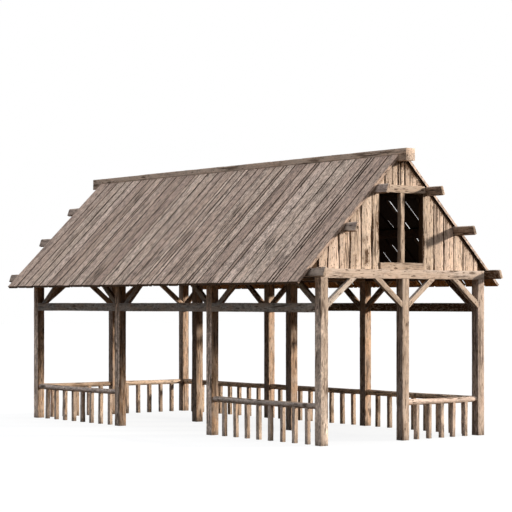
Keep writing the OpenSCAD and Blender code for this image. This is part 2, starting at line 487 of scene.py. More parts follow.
@dataclass(frozen=True)
class WoodFinish:
    """One kind of weathered wood.

    Colours are linear and amounts run from 0 to 1. Relief is the depth of the grain and soil_reach the
    height of the damp foot, in metres. Faces towards -Y take more grey by their own amount. That grey is
    partly weathering and partly painted light and shade, because some finishes set it to lift or dim these
    shaded faces. Wood further in than shelter_edge, in X, takes the sheltered tint. The three sides are
    painted light and shade: they dim or lift faces square to X, +Y and +Z by how the sun and the sky fall
    on them.
    Bark, dirt and painted shade turn from umber to dark_wood. Spans hold where a change starts and ends, and
    tone_shade and roughness hold a factor and an offset.
    """

    name: str
    slot: Slot
    pale: Colour
    brown: Colour
    grey: Colour
    stain: Colour
    greyness: float
    stains: float
    rings: float = 38.0
    ring_share: float = 0.35
    browned: Span = (0.3, 0.95)
    knots: float = 0.3
    knot_dark: float = 0.8
    cracks: float = 0.5
    crack_dark: float = 0.85
    contrast: float = 1.0
    mottled: float = 0.5
    streak_depth: float = 1.8
    blotch_depth: float = 1.5
    tone_grey: float = 0.5
    tone_shade: Span = (0.36, 0.8)
    # Painted light and shade: faces towards -Y lie in shade, and their grey is partly weathering and partly
    # tuned to lift or dim them.
    weather_side: float = 0.0
    exposed: Span = (-0.25, -0.85)
    sheltered: Colour = WHITE
    shelter_edge: Span = (5.1, 4.6)
    rosy: Colour = (1.03, 0.985, 0.98)
    mossy: Colour = (1.0, 0.985, 0.955)
    relief: float = 0.004
    relief_strength: float = 0.8
    soil: Colour = (0.09, 0.07, 0.055)
    soil_reach: float = 0.25
    # Painted light and shade by facing: by default, faces towards +Y, which the sun lights, are dimmed.
    sides: Triple = (1.0, 0.7, 1.0)
    square: Span = (0.6, 0.9)
    gloss: float = 0.18
    roughness: Span = (0.22, 0.68)
    ragged: float = 5.2
    sooty_from: float = 0.6
    # umber and dark_wood colour dirt, barky remnants and knots, and also the painted shade.
    umber: Colour = (0.10, 0.050, 0.022)
    dark_wood: Colour = (0.07, 0.04, 0.022)

    def material(self, effects: SharedEffects) -> bpy.types.Material:
        """Build the material.

        Args:
            effects: The shared node groups.

        Returns:
            The material, which reads the attributes grain, tone, arris and bark.
        """
        made, wiring = Wiring.of_material(self.name)
        grain = wiring.attribute("grain", "Vector")
        tone, arris, bark = (wiring.attribute(name) for name in ("tone", "arris", "bark"))
        place = wiring.node("ShaderNodeNewGeometry").outputs
        facing, spot = (wiring.parts(place[name]) for name in ("Normal", "Position"))
        figure = wiring.group(effects.grain, Grain=grain, Rings=self.rings, Knots=self.knots,
                              Cracks=self.cracks)
        # Faces towards -Y lie in shade; their grey is partly weathering and partly painted light and shade.
        exposed = wiring.step(facing["Y"], *self.exposed)
        greyed = wiring.scaled(tone, self.tone_grey, self.greyness - self.tone_grey / 2)
        weather = wiring.group(
            effects.weathering, Color=self._fresh(wiring, figure), Grey=self.grey, Stain=self.stain,
            Grain=grain, Stains=self.stains, Amount=wiring.scaled(exposed, self.weather_side, greyed))
        inside = wiring.times(wiring.step(spot["X"], *self.shelter_edge), wiring.minus(1.0, exposed))
        own = wiring.mix(wiring.math("FRACT", wiring.times(tone, 7.3)), self.rosy, self.mossy)
        tint = wiring.mix(inside, own, self.sheltered)
        toned = wiring.vector("SCALE", wiring.mix(1.0, weather["Color"], tint, "MULTIPLY"))
        wiring.feed(toned.node.inputs["Scale"], self._shade(wiring, figure, tone, facing))
        wear = wiring.group(effects.arris_wear, Color=toned, Pale=self.pale, Arris=arris, Grain=grain)
        soil = wiring.group(effects.ground_soil, Color=self._barked(wiring, figure, wear["Color"], bark),
                            Soil=self.soil, Reach=self.soil_reach)
        shader = wiring.node("ShaderNodeBsdfPrincipled")
        shader.inputs["Specular IOR Level"].default_value = self.gloss
        wiring.feed(shader.inputs["Base Color"], soil["Color"])
        wiring.feed(shader.inputs["Roughness"], wiring.scaled(figure["Streak"], *self.roughness))
        bump = wiring.node("ShaderNodeBump")
        bump.inputs["Strength"].default_value = self.relief_strength
        bump.inputs["Distance"].default_value = self.relief
        wiring.feed(bump.inputs["Height"], figure["Height"])
        wiring.feed(shader.inputs["Normal"], bump.outputs["Normal"])
        wiring.close(shader.outputs["BSDF"])
        return made

    def _fresh(self, wiring: Wiring, figure: bpy.types.NodeOutputs) -> Socket:
        """Colour the bare wood from pale to brown by its rings, streaks and blotches.

        Args:
            wiring: Wiring of the material.
            figure: Outputs of the grain group.

        Returns:
            The colour.
        """
        blotches = wiring.plus(wiring.times(figure["Streak"], 1.0 - self.mottled),
                               wiring.times(figure["Mottle"], self.mottled))
        depth = wiring.scaled(figure["Figure"], self.ring_share, blotches)
        return wiring.mix(wiring.step(depth, *self.browned), self.pale, self.brown)

    def _shade(self, wiring: Wiring, figure: bpy.types.NodeOutputs, tone: Socket,
               facing: bpy.types.NodeOutputs) -> Socket:
        """Shade the wood by its timber and its streaks and blotches, and paint light and shade by the way it
        faces.

        Args:
            wiring: Wiring of the material.
            figure: Outputs of the grain group.
            tone: Tone of the timber.
            facing: X, Y and Z of the normal.

        Returns:
            A factor for the colour.
        """
        shade = wiring.scaled(tone, *self.tone_shade)
        shares = {"Streak": self.streak_depth * (1.0 - self.mottled),
                  "Mottle": self.blotch_depth * self.mottled}
        for name, share in shares.items():
            depth = share * self.contrast
            shade = wiring.times(shade, wiring.scaled(figure[name], depth, 1.0 - depth / 2))
        # Painted light and shade: faces square to X, +Y and +Z are dimmed or lifted by how the sun and the
        # sky fall on them.
        looks = (wiring.math("ABSOLUTE", facing["X"]), facing["Y"], facing["Z"])
        for look, share in zip(looks, self.sides):
            shade = wiring.times(shade, wiring.scaled(wiring.step(look, *self.square), share - 1.0, 1.0))
        return shade

    def _barked(self, wiring: Wiring, figure: bpy.types.NodeOutputs, colour: Socket, bark: Socket) -> Socket:
        """Add knots and cracks, and barky remnants, dirt and painted shade that are ragged at their edges.

        Args:
            wiring: Wiring of the material.
            figure: Outputs of the grain group.
            colour: Colour of the wood so far.
            bark: Amount of barky remnants, dirt and painted shade.

        Returns:
            The colour.
        """
        # Barky remnants, dirt and painted shade: umber at their ragged edges, dark_wood where full.
        knotted = wiring.mix(wiring.times(figure["Knot"], self.knot_dark), colour, self.dark_wood)
        between = wiring.times(bark, wiring.minus(1.0, bark))
        rough = wiring.scaled(figure["Mottle"], self.ragged, -self.ragged / 2)
        ragged = wiring.scaled(between, rough, bark)
        browned = wiring.mix(wiring.step(ragged, 0.0, self.sooty_from), knotted, self.umber)
        sooty = wiring.step(ragged, self.sooty_from, 1.0)
        dark = wiring.larger(wiring.times(figure["Crack"], self.crack_dark), sooty)
        return wiring.mix(dark, browned, self.dark_wood)


@dataclass(frozen=True)
class IronFinish:
    """Hand-made nails, dull and rusted; roughness and metal hold a factor of the rust and an offset."""

    name: str = "rusted_nail_iron"
    iron: Colour = (0.045, 0.04, 0.038)
    rust: Colour = (0.11, 0.05, 0.025)
    waves: Triple = (60.0, 60.0, 60.0)
    rusted: Span = (0.4, 0.6)
    roughness: Span = (0.3, 0.55)
    metal: Span = (-0.7, 0.8)

    def material(self) -> bpy.types.Material:
        """Build the material.

        Returns:
            The material of the nails.
        """
        made, wiring = Wiring.of_material(self.name)
        place = wiring.node("ShaderNodeNewGeometry").outputs["Position"]
        rusted = wiring.step(wiring.noise(place, self.waves, 3.0), *self.rusted)
        shader = wiring.node("ShaderNodeBsdfPrincipled")
        wiring.feed(shader.inputs["Base Color"], wiring.mix(rusted, self.iron, self.rust))
        wiring.feed(shader.inputs["Roughness"], wiring.scaled(rusted, *self.roughness))
        wiring.feed(shader.inputs["Metallic"], wiring.scaled(rusted, *self.metal))
        wiring.close(shader.outputs["BSDF"])
        return made


class Palette:
    """The materials of the stall, each built once."""

    def __init__(self) -> None:
        """Build the shared effects and the iron."""
        self.effects = SharedEffects()
        self.iron = IronFinish().material()
        self.woods: dict[str, bpy.types.Material] = {}

    def wood(self, finish: WoodFinish) -> bpy.types.Material:
        """Find the material of a finish, or build it.

        Args:
            finish: The finish.

        Returns:
            Its material.
        """
        if finish.name not in self.woods:
            self.woods[finish.name] = finish.material(self.effects)
        return self.woods[finish.name]


@dataclass
class Draft:
    """Points, faces and wood attributes of a piece while it is being made."""

    points: list[Vector] = field(default_factory=list)
    faces: list[Face] = field(default_factory=list)
    grain: list[Vector] = field(default_factory=list)
    tone: list[float] = field(default_factory=list)
    arris: list[float] = field(default_factory=list)
    bark: list[float] = field(default_factory=list)

    def point(self, place: Vector, grain: Vector, tone: float, arris: float = 0.0, bark: float = 0.0) -> int:
        """Add a point.

        Args:
            place: Where it lies.
            grain: Its place in the wood, along the fibres and across them.
            tone: How dark or grey its timber is, from 0 to 1.
            arris: 1 on an arris, 0 on a face.
            bark: 1 where barky remnants, dirt and painted shade darken the wood fully, 0 where it is bare.

        Returns:
            Its index.
        """
        self.points.append(place)
        self.grain.append(grain)
        self.tone.append(tone)
        self.arris.append(arris)
        self.bark.append(bark)
        return len(self.points) - 1

    def loft(self, rings: list[list[int]]) -> None:
        """Skin a row of closed rings of points and close both ends.

        Args:
            rings: Indices of the points of each ring, the rings in order.
        """
        for first, second in zip(rings, rings[1:]):
            count = len(first)
            for k in range(count):
                after = (k + 1) % count
                self.faces.append((first[k], first[after], second[after], second[k]))
        self.faces.append(tuple(reversed(rings[0])))
        self.faces.append(tuple(rings[-1]))

    def mesh(self, name: str, sharp: float = 38.0) -> bpy.types.Mesh:
        """Make the mesh with outward normals and its attributes.

        Args:
            name: Name of the mesh.
            sharp: Angle in degrees above which an edge stays sharp.

        Returns:
            The mesh.
        """
        made = bpy.data.meshes.new(name)
        made.from_pydata([tuple(place) for place in self.points], [], self.faces)
        work = bmesh.new()
        work.from_mesh(made)
        bmesh.ops.recalc_face_normals(work, faces=work.faces)
        work.to_mesh(made)
        work.free()
        made.shade_smooth()
        made.set_sharp_from_angle(angle=math.radians(sharp))
        layer = made.attributes.new("grain", "FLOAT_VECTOR", "POINT")
        layer.data.foreach_set("vector", [value for place in self.grain for value in place])
        for label, values in (("tone", self.tone), ("arris", self.arris), ("bark", self.bark)):
            made.attributes.new(label, "FLOAT", "POINT").data.foreach_set("value", values)
        return made

    def piece(self, name: str, material: bpy.types.Material, slot: Slot, *nodes: str) -> bpy.types.Object:
        """Make the object, which rides on the stall and stands for the given nodes.

        Args:
            name: Name of the piece.
            material: Its material.
            slot: The record's slot; not used.
            nodes: The nodes that it replaces.

        Returns:
            The object.
        """
        made = put_in_scene(name, self.mesh(name))
        made.data.materials.append(material)
        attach(made, BODY)
        if nodes:
            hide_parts(*nodes)
        log.info("%s: %d points, %d faces", name, len(self.points), len(self.faces))
        return made


@dataclass
class WoodPiece:
    """A piece of one wood, which stands for one node."""

    suffix: ClassVar[str] = "_wood"
    node: str
    finish: WoodFinish

    def build(self, palette: Palette) -> bpy.types.Object:
        """Build the piece.

        Args:
            palette: The materials.

        Returns:
            The piece, which replaces its node.
        """
        made = self.shape()
        return made.piece(self.node + self.suffix, palette.wood(self.finish), self.finish.slot, self.node)

    def shape(self) -> Draft:
        """Return the worked wood."""
        raise NotImplementedError


def welded(node: str) -> bmesh.types.BMesh:
    """Copy a node's mesh to work on, with its seams closed and flat faces merged.

    Args:
        node: Name of the node.

    Returns:
        The working copy.
    """
    work = bmesh.new()
    work.from_mesh(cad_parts[node].data)
    bmesh.ops.remove_doubles(work, verts=work.verts, dist=WELD)
    bmesh.ops.dissolve_limit(work, angle_limit=FLAT, verts=work.verts, edges=work.edges)
    return work


def solids_of(work: bmesh.types.BMesh) -> list[list[bmesh.types.BMVert]]:
    """Find the connected solids of a mesh.

    Args:
        work: The mesh.

    Returns:
        The points of each solid.
    """
    seen: set[int] = set()
    found = []
    for start in work.verts:
        if start.index in seen:
            continue
        seen.add(start.index)
        group, queue = [], [start]
        while queue:
            vert = queue.pop()
            group.append(vert)
            for edge in vert.link_edges:
                other = edge.other_vert(vert)
                if other.index not in seen:
                    seen.add(other.index)
                    queue.append(other)
        found.append(group)
    return found


def split_solids(node: str) -> list[bmesh.types.BMesh]:
    """Take a node apart into its solids.

    Args:
        node: Name of the node.

    Returns:
        A mesh for each solid.
    """
    whole = welded(node)
    whole.verts.index_update()
    whole.faces.index_update()
    whole.faces.ensure_lookup_table()
    found = []
    for group in solids_of(whole):
        part = bmesh.new()
        copies = {vert.index: part.verts.new(vert.co) for vert in group}
        for index in sorted({face.index for vert in group for face in vert.link_faces}):
            part.faces.new([copies[vert.index] for vert in whole.faces[index].verts])
        part.normal_update()
        found.append(part)
    whole.free()
    return found


def slice_mesh(work: bmesh.types.BMesh, place: Vector, normal: Vector) -> None:
    """Cut the faces of a mesh along a plane and take nothing away."""
    parts = [*work.verts, *work.edges, *work.faces]
    bmesh.ops.bisect_plane(work, geom=parts, dist=WELD, plane_co=place, plane_no=normal)


@dataclass
class TimberAxes:
    """Lengthwise and cross directions of one timber, the start of its middle line, and its length."""

    along: Vector
    wide: Vector
    deep: Vector
    start: Vector
    length: float

    @classmethod
    def of(cls, work: bmesh.types.BMesh) -> "TimberAxes":
        """Read the axes from a solid: along its longest edge, and square to its largest side.

        Args:
            work: The solid.

        Returns:
            Its axes.
        """
        longest = max(work.edges, key=lambda edge: edge.calc_length())
        along = (longest.verts[1].co - longest.verts[0].co).normalized()
        if max(along, key=abs) < 0:
            along.negate()
        sides = [face for face in work.faces if abs(face.normal.dot(along)) < 0.1]
        wide = max(sides, key=lambda face: face.calc_area()).normal.copy()
        deep = along.cross(wide).normalized()
        wide = deep.cross(along)
        spans = []
        for axis in (along, wide, deep):
            reach = [vert.co.dot(axis) for vert in work.verts]
            spans.append((min(reach), max(reach)))
        start = along * spans[0][0] + wide * (sum(spans[1]) / 2) + deep * (sum(spans[2]) / 2)
        return cls(along, wide, deep, start, spans[0][1] - spans[0][0])

    def local(self, place: Vector) -> Vector:
        """Return a point's distance along the timber and across it both ways."""
        away = place - self.start
        return Vector((away.dot(self.along), away.dot(self.wide), away.dot(self.deep)))


@dataclass
class HewnTimbers(WoodPiece):
    """The timbers of one node, worked as axe, saw and weather leave them.

    Sizes in metres: the width of the rubbed arris, the distance between two worked sections, how far a
    timber bows between its held ends, how deep the faces ripple and the arrises are nicked, how far the
    heart lies off the middle, and depth and half width of a seam. Waves are counts per metre, along and
    across. Painted shade is an amount: within a span along X, where the loft is dark, and on the inner
    faces, which lie in shade.
    """

    suffix: ClassVar[str] = "_hewn"
    arris: float = 0.005
    arris_angles: Span = (25.0, 110.0)
    section: float = 0.11
    bow: float = 0.004
    bow_waves: float = 0.45
    held_end: float = 0.35
    face_ripple: float = 0.002
    ripple_waves: Span = (2.1, 5.0)
    nick: float = 0.010
    nick_waves: Span = (4.3, 11.0)
    nick_from: float = 0.05
    heart_off: float = 0.07
    seam_height: float | None = None
    seam_depth: float = 0.010
    seam_half: float = 0.006
    tone_span: Span = (0.0, 1.0)
    # Painted shade: darker within the loft's span along X and on the inner faces, which lie in shade.
    sooty_span: Span = (0.0, 0.0)
    sooty_inside: float = 0.0
    inner_edge: float = 0.01
    soot: float = 0.85
    soot_fade: float = 0.1

    def shape(self) -> Draft:
        """Work the timbers.

        Returns:
            The draft of the piece.
        """
        draft = Draft()
        for index, work in enumerate(split_solids(self.node)):
            axes = TimberAxes.of(work)
            layer = self._rub_arrises(work)
            self._cut_sections(work, axes)
            if self.seam_height is not None:
                self._cut_seam(work)
            self._hew(work, axes, layer, source_of(self.node, index), draft)
            work.free()
        return draft

    def _rub_arrises(self, work: bmesh.types.BMesh) -> bmesh.types.BMLayerItem:
        """Round the outer edges and mark them.

        Args:
            work: The timber.

        Returns:
            The layer with the marks.
        """
        layer = work.verts.layers.float.new("arris")
        least, most = (math.radians(angle) for angle in self.arris_angles)
        outer = [edge for edge in work.edges
                 if len(edge.link_faces) == 2 and least < edge.calc_face_angle_signed(0.0) < most]
        rounded = bmesh.ops.bevel(work, geom=outer, offset=self.arris, offset_type="OFFSET", segments=2,
                                  profile=0.55, affect="EDGES", clamp_overlap=True)
        for vert in rounded["verts"]:
            if vert.is_valid:
                vert[layer] = 1.0
        return layer

    def _cut_sections(self, work: bmesh.types.BMesh, axes: TimberAxes) -> None:
        """Cut the faces across every section and once along each side.

        Args:
            work: The timber.
            axes: Its axes.
        """
        count = max(2, round(axes.length / self.section))
        for k in range(1, count):
            slice_mesh(work, axes.start + axes.along * (axes.length * k / count), axes.along)
        for normal in (axes.wide, axes.deep):
            slice_mesh(work, axes.start, normal)

    def _cut_seam(self, work: bmesh.types.BMesh) -> None:
        """Cut a V-shaped seam along both sides at the given height.

        Args:
            work: The timber.
        """
        for lift in (-self.seam_half, 0.0, self.seam_half):
            slice_mesh(work, Vector((0.0, 0.0, self.seam_height + lift)), Vector((0.0, 0.0, 1.0)))
        outermost = max(abs(vert.co.y) for vert in work.verts)
        for vert in work.verts:
            if abs(vert.co.z - self.seam_height) < NEAR and abs(vert.co.y) > outermost - self.arris * 1.5:
                vert.co.y -= math.copysign(self.seam_depth, vert.co.y)

    def _hew(self, work: bmesh.types.BMesh, axes: TimberAxes, layer: bmesh.types.BMLayerItem,
             chance: random.Random, draft: Draft) -> None:
        """Bow the timber, ripple its faces, nick its arrises and add it to the draft.

        Args:
            work: The timber.
            axes: Its axes.
            layer: The layer that marks its arrises.
            chance: Source of random numbers.
            draft: The draft that it is added to.
        """
        work.normal_update()
        work.verts.index_update()
        shift = chance.uniform(*GRAIN_SHIFT)
        heart = Vector((shift, *(chance.uniform(-self.heart_off, self.heart_off) for _ in range(2))))
        tone = chance.uniform(*self.tone_span)
        base = len(draft.points)
        for vert in work.verts:
            place = axes.local(vert.co)
            to_end = min(place.x, axes.length - place.x)
            bend = place.x * self.bow_waves + shift
            drift = axes.wide * ripple(bend, 1.7, 0.0) + axes.deep * ripple(bend, 9.2, 0.0)
            wave, broken = (ripple(place.x * along + shift, place.y * across, place.z * across)
                            for along, across in (self.ripple_waves, self.nick_waves))
            outward = vert.normal - axes.along * vert.normal.dot(axes.along)
            inward = self.nick * vert[layer] * max(0.0, broken - self.nick_from) - self.face_ripple * wave
            moved = vert.co + drift * (self.bow * ease(to_end / self.held_end)) - outward * inward
            # Painted shade: darker inside the loft and on the inner faces, where shade falls.
            inside = min(moved.x - self.sooty_span[0], self.sooty_span[1] - moved.x)
            soot = self.soot * ease(inside / self.soot_fade)
            if abs(moved.y) < abs(axes.start.y) + self.inner_edge:
                soot = max(soot, self.sooty_inside * ease(to_end / self.soot_fade))
            draft.point(moved, place + heart, tone, vert[layer], soot)
        for face in work.faces:
            draft.faces.append(tuple(base + vert.index for vert in face.verts))


@dataclass
class SlopePlane:
    """Where the boards of one slope lie: its length along X and its section in Y and Z."""

    low_x: float
    high_x: float
    top_ridge: Vector
    top_eave: Vector
    under_ridge: Vector
    under_eave: Vector

    @classmethod
    def of(cls, node: str) -> "SlopePlane":
        """Read the slope from its node.

        Args:
            node: Name of the node.

        Returns:
            The slope.
        """
        work = welded(node)
        low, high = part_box(node)
        section = {(round(vert.co.y, 4), round(vert.co.z, 4)) for vert in work.verts}
        work.free()
        ordered = sorted(section, key=lambda corner: abs(corner[0]))
        ridge = sorted(ordered[:2], key=lambda corner: corner[1])
        eave = sorted(ordered[-2:], key=lambda corner: corner[1])
        corners = (ridge[1], eave[1], ridge[0], eave[0])
        return cls(low.x, high.x, *(Vector((0.0, *corner)) for corner in corners))

    @property
    def thickness(self) -> float:
        """Thickness of the boards, square to the slope."""
        return (self.top_eave - self.under_eave).length

    @property
    def length(self) -> float:
        """Length of the boards along their upper face."""
        return (self.top_eave - self.top_ridge).length

    @property
    def normal(self) -> Vector:
        """Direction square to the slope, upwards."""
        return (self.top_eave - self.under_eave).normalized()

    def place(self, x: float, down: float, depth: float) -> Vector:
        """Return a point.

        Args:
            x: Place along the ridge.
            down: Share of the way from the ridge to the eave.
            depth: Distance below the upper face.

        Returns:
            The point on or in the slope.
        """
        top = self.top_ridge.lerp(self.top_eave, down)
        under = self.under_ridge.lerp(self.under_eave, down)
        found = top.lerp(under, depth / self.thickness)
        return Vector((x, found.y, found.z))

    def share_at(self, y: float) -> float:
        """Return the share of the way from ridge to eave at a distance from the middle."""
        return (y - abs(self.top_ridge.y)) / (abs(self.top_eave.y) - abs(self.top_ridge.y))


@dataclass
class RoofBoarding(WoodPiece):
    """The boards of one slope, of uneven width, with V-shaped joints and waney undersides.

    Sizes in metres, but places along the slope are shares of its length, and wanes are held to a share of
    the board. A joint is groove wide at the top and shut below, but for the slits. Painted shade is given
    as amounts: on the cut ends, which face away from the sun, on the undersides in the dark loft, and,
    less, on the undersides over the eave, from a given share of the slope.
    """

    suffix: ClassVar[str] = "_boards"
    side: Side
    wide: Span = (0.25, 0.45)
    narrow: Span = (0.09, 0.15)
    narrow_share: float = 0.25
    slits: tuple[Slit, ...] = ()
    slit_end: float = 0.02
    slit_depth: float = 0.007
    slit_wane: float = 0.11
    slit_wane_share: float = 0.6
    groove: float = 0.026
    groove_uneven: float = 0.7
    groove_depth: float = 0.016
    dirt_rim: float = 0.009
    # Painted shade: on the cut ends at the eave, on the undersides in the loft and, less, over the eave.
    cut_dirt: float = 0.85
    cut_rim: float = 0.003
    sooty: float = 1.0
    sooty_eave: float = 0.5
    soot_end: float = 0.85
    soot_fade: float = 0.06
    wane: float = 0.03
    wane_share: float = 0.2
    arris: float = 0.004
    heart_off: float = 0.1
    heart_depth: float = 0.09
    stations: int = 40
    lift: float = 0.006
    cup: float = 0.004
    uneven: float = 0.004
    wander: float = 0.007
    verge_fray: float = 0.003
    nail_rows: tuple[float, ...] = (0.68, 1.49, 2.42)
    nail_play: float = 0.004
    nail_inset: float = 0.04
    two_nails: float = 0.13
    nail_places: list[Spot] = field(default_factory=list)

    def shape(self) -> Draft:
        """Work the boards of the slope.

        Returns:
            The draft of the piece.
        """
        slope = SlopePlane.of(self.node)
        chance = source_of("boards", self.node)
        joints = self._joints(slope, chance)
        draft = Draft()
        for index in range(len(joints) - 1):
            self._board(draft, slope, chance, joints, index)
        return draft

    def _joints(self, slope: SlopePlane, chance: random.Random) -> list[float]:
        """Lay out the joints.

        Args:
            slope: Where the boards lie.
            chance: Source of random numbers.

        Returns:
            Their places along the ridge, the two verges included.
        """
        slits = {slit.joint for slit in self.slits}
        places = [slope.low_x]
        for stop in (*sorted(slits), slope.high_x):
            while places[-1] < stop - self.wide[1]:
                narrow = chance.random() < self.narrow_share and len(places) > 1
                places.append(places[-1] + chance.uniform(*(self.narrow if narrow else self.wide)))
            if stop - places[-1] < self.wide[0] and len(places) > 1 and places[-1] not in slits:
                places.pop()
            places.append(stop)
        return places

    def _middle(self, joints: list[float], index: int, down: float) -> float:
        """Return where the middle of a joint lies, or the edge of the slope at its two verges.

        Args:
            joints: Places of all joints.
            index: Which joint.
            down: Share of the way from ridge to eave.

        Returns:
            The place along the ridge.
        """
        at = joints[index]
        if index in (0, len(joints) - 1):
            inward = self.verge_fray if index == 0 else -self.verge_fray
            return at + inward * (1.0 + ripple(down * 6.0, index * 7.3, self.side.value))
        if any(slit.joint == at for slit in self.slits):
            return at
        return at + self.wander * ripple(down * 4.0, index * 3.7, 5.0 * self.side.value)

    def _slit(self, joint: float, down: float) -> float:
        """Work out how far a joint is open right through.

        Args:
            joint: Its place along the ridge.
            down: Share of the way from ridge to eave.

        Returns:
            The width of the slit, 0 where the joint is shut.
        """
        widths = [slit.width * ease(min(down - slit.upper, slit.lower - down) / self.slit_end + 0.5)
                  for slit in self.slits if slit.joint == joint]
        return max([0.0, *widths])

    def _shares(self, eave_cut: float) -> list[float]:
        """Choose where a board has a section.

        Args:
            eave_cut: Share at which the board is cut off.

        Returns:
            Shares of the way from ridge to eave, the cut end included.
        """
        even = [eave_cut * k / self.stations for k in range(self.stations)]
        ends = [end + step for slit in self.slits for end in (slit.upper, slit.lower)
                for step in (-self.slit_end / 2, self.slit_end / 2)]
        return sorted({*even, *ends, eave_cut - self.cut_rim, eave_cut})

    def _edge(self, slope: SlopePlane, joint: float | None, at: float, inward: float, down: float,
              sink: float, cut: float) -> tuple[Triple, ...]:
        """Work out three corners of a board's edge, from its foot to its face.

        Args:
            slope: Where the boards lie.
            joint: Place of the joint along the ridge, None at a verge.
            at: Where the middle of the joint lies at this share.
            inward: 1 at a left edge, -1 at a right one.
            down: Share of the way from ridge to eave.
            sink: How far the board's face lies below the slope's.
            cut: Painted shade of the section, on the cut end.

        Returns:
            Place along the ridge, depth and darkening of each corner: dark joints, and painted shade on the
            cut end.
        """
        if joint is None:
            return ((at, slope.thickness - self.arris, cut), (at, sink + self.arris, cut),
                    (at + inward * self.arris, sink, cut))
        slit = self._slit(joint, down)
        broken = 1.0 + self.groove_uneven * ripple(down * 9.0, joint * 5.1, 40.0 + self.side.value)
        top = max(self.groove * broken, slit) / 2
        deep = self.slit_depth if slit else self.groove_depth
        return ((at + inward * slit / 2, deep, 1.0), (at + inward * top, sink + self.arris / 2, 1.0),
                (at + inward * (top + self.dirt_rim), sink, cut))

    def _board(self, draft: Draft, slope: SlopePlane, chance: random.Random,
               joints: list[float], index: int) -> None:
        """Add one board to the draft and note where it is nailed.

        Args:
            draft: The draft that it is added to.
            slope: Where the boards lie.
            chance: Source of random numbers.
            joints: Places of all joints.
            index: Which board.
        """
        tone = chance.random()
        shift = chance.uniform(*GRAIN_SHIFT)
        heart = chance.uniform(-self.heart_off, self.heart_off)
        sink = [chance.uniform(0.0, self.lift) for _ in range(2)]
        eave_cut = 1.0 - chance.uniform(0.0, self.uneven)
        inner = [joints[index] if index > 0 else None, joints[index + 1] if index < len(joints) - 2 else None]
        rings = []
        for down in self._shares(eave_cut):
            ends = [self._middle(joints, index + side, down) for side in (0, 1)]
            middle, width = sum(ends) / 2, ends[1] - ends[0]
            # Painted shade on the cut end at the eave, which faces away from the sun.
            cut = self.cut_dirt if down == eave_cut else 0.0
            left, right = (self._edge(slope, inner[side], ends[side], inward, down, sink[side], cut)
                           for side, inward in ((0, 1.0), (1, -1.0)))
            wane = min(self.wane, self.wane_share * width)
            wanes = [self.arris if joint is None else wane for joint in inner]
            if self._slit(joints[index], down) > 0.0:
                wanes[0] = min(self.slit_wane, self.slit_wane_share * width)
            cup = self.cup * ripple(down * 3.0, shift, 0.0)
            # Painted shade on the undersides: dark in the loft, less dark over the eave.
            soot = self.sooty_eave
            soot += (self.sooty - self.sooty_eave) * ease((self.soot_end - down) / self.soot_fade)
            section = (*left, (middle, sum(sink) / 2 + cup, cut), *reversed(right),
                       (right[0][0] - wanes[1], slope.thickness, soot),
                       (left[0][0] + wanes[0], slope.thickness, soot))
            ring = []
            for x, depth, bark in section:
                grain = Vector((down * slope.length + shift, x - middle + heart, depth + self.heart_depth))
                ring.append(draft.point(slope.place(x, down, depth), grain, tone, 0.0, bark))
            rings.append(ring)
        draft.loft(rings)
        self._nail(slope, chance, joints, index, sink)

    def _nail(self, slope: SlopePlane, chance: random.Random, joints: list[float], index: int,
              sink: list[float]) -> None:
        """Note one nail over each purlin, or two where the board is wide.

        Args:
            slope: Where the boards lie.
            chance: Source of random numbers.
            joints: Places of all joints.
            index: Which board.
            sink: How far the left and the right of its face lie below the slope's.
        """
        for row in self.nail_rows:
            down = slope.share_at(row) + chance.uniform(-self.nail_play, self.nail_play)
            left, right = (self._middle(joints, index + side, down) for side in (0, 1))
            inset = min(self.nail_inset, 0.5 * (right - left))
            spots = [(left + inset, sink[0])]
            if right - left > self.two_nails:
                spots.append((right - inset, sink[1]))
            self.nail_places += [(slope.place(x, down, depth), slope.normal) for x, depth in spots]


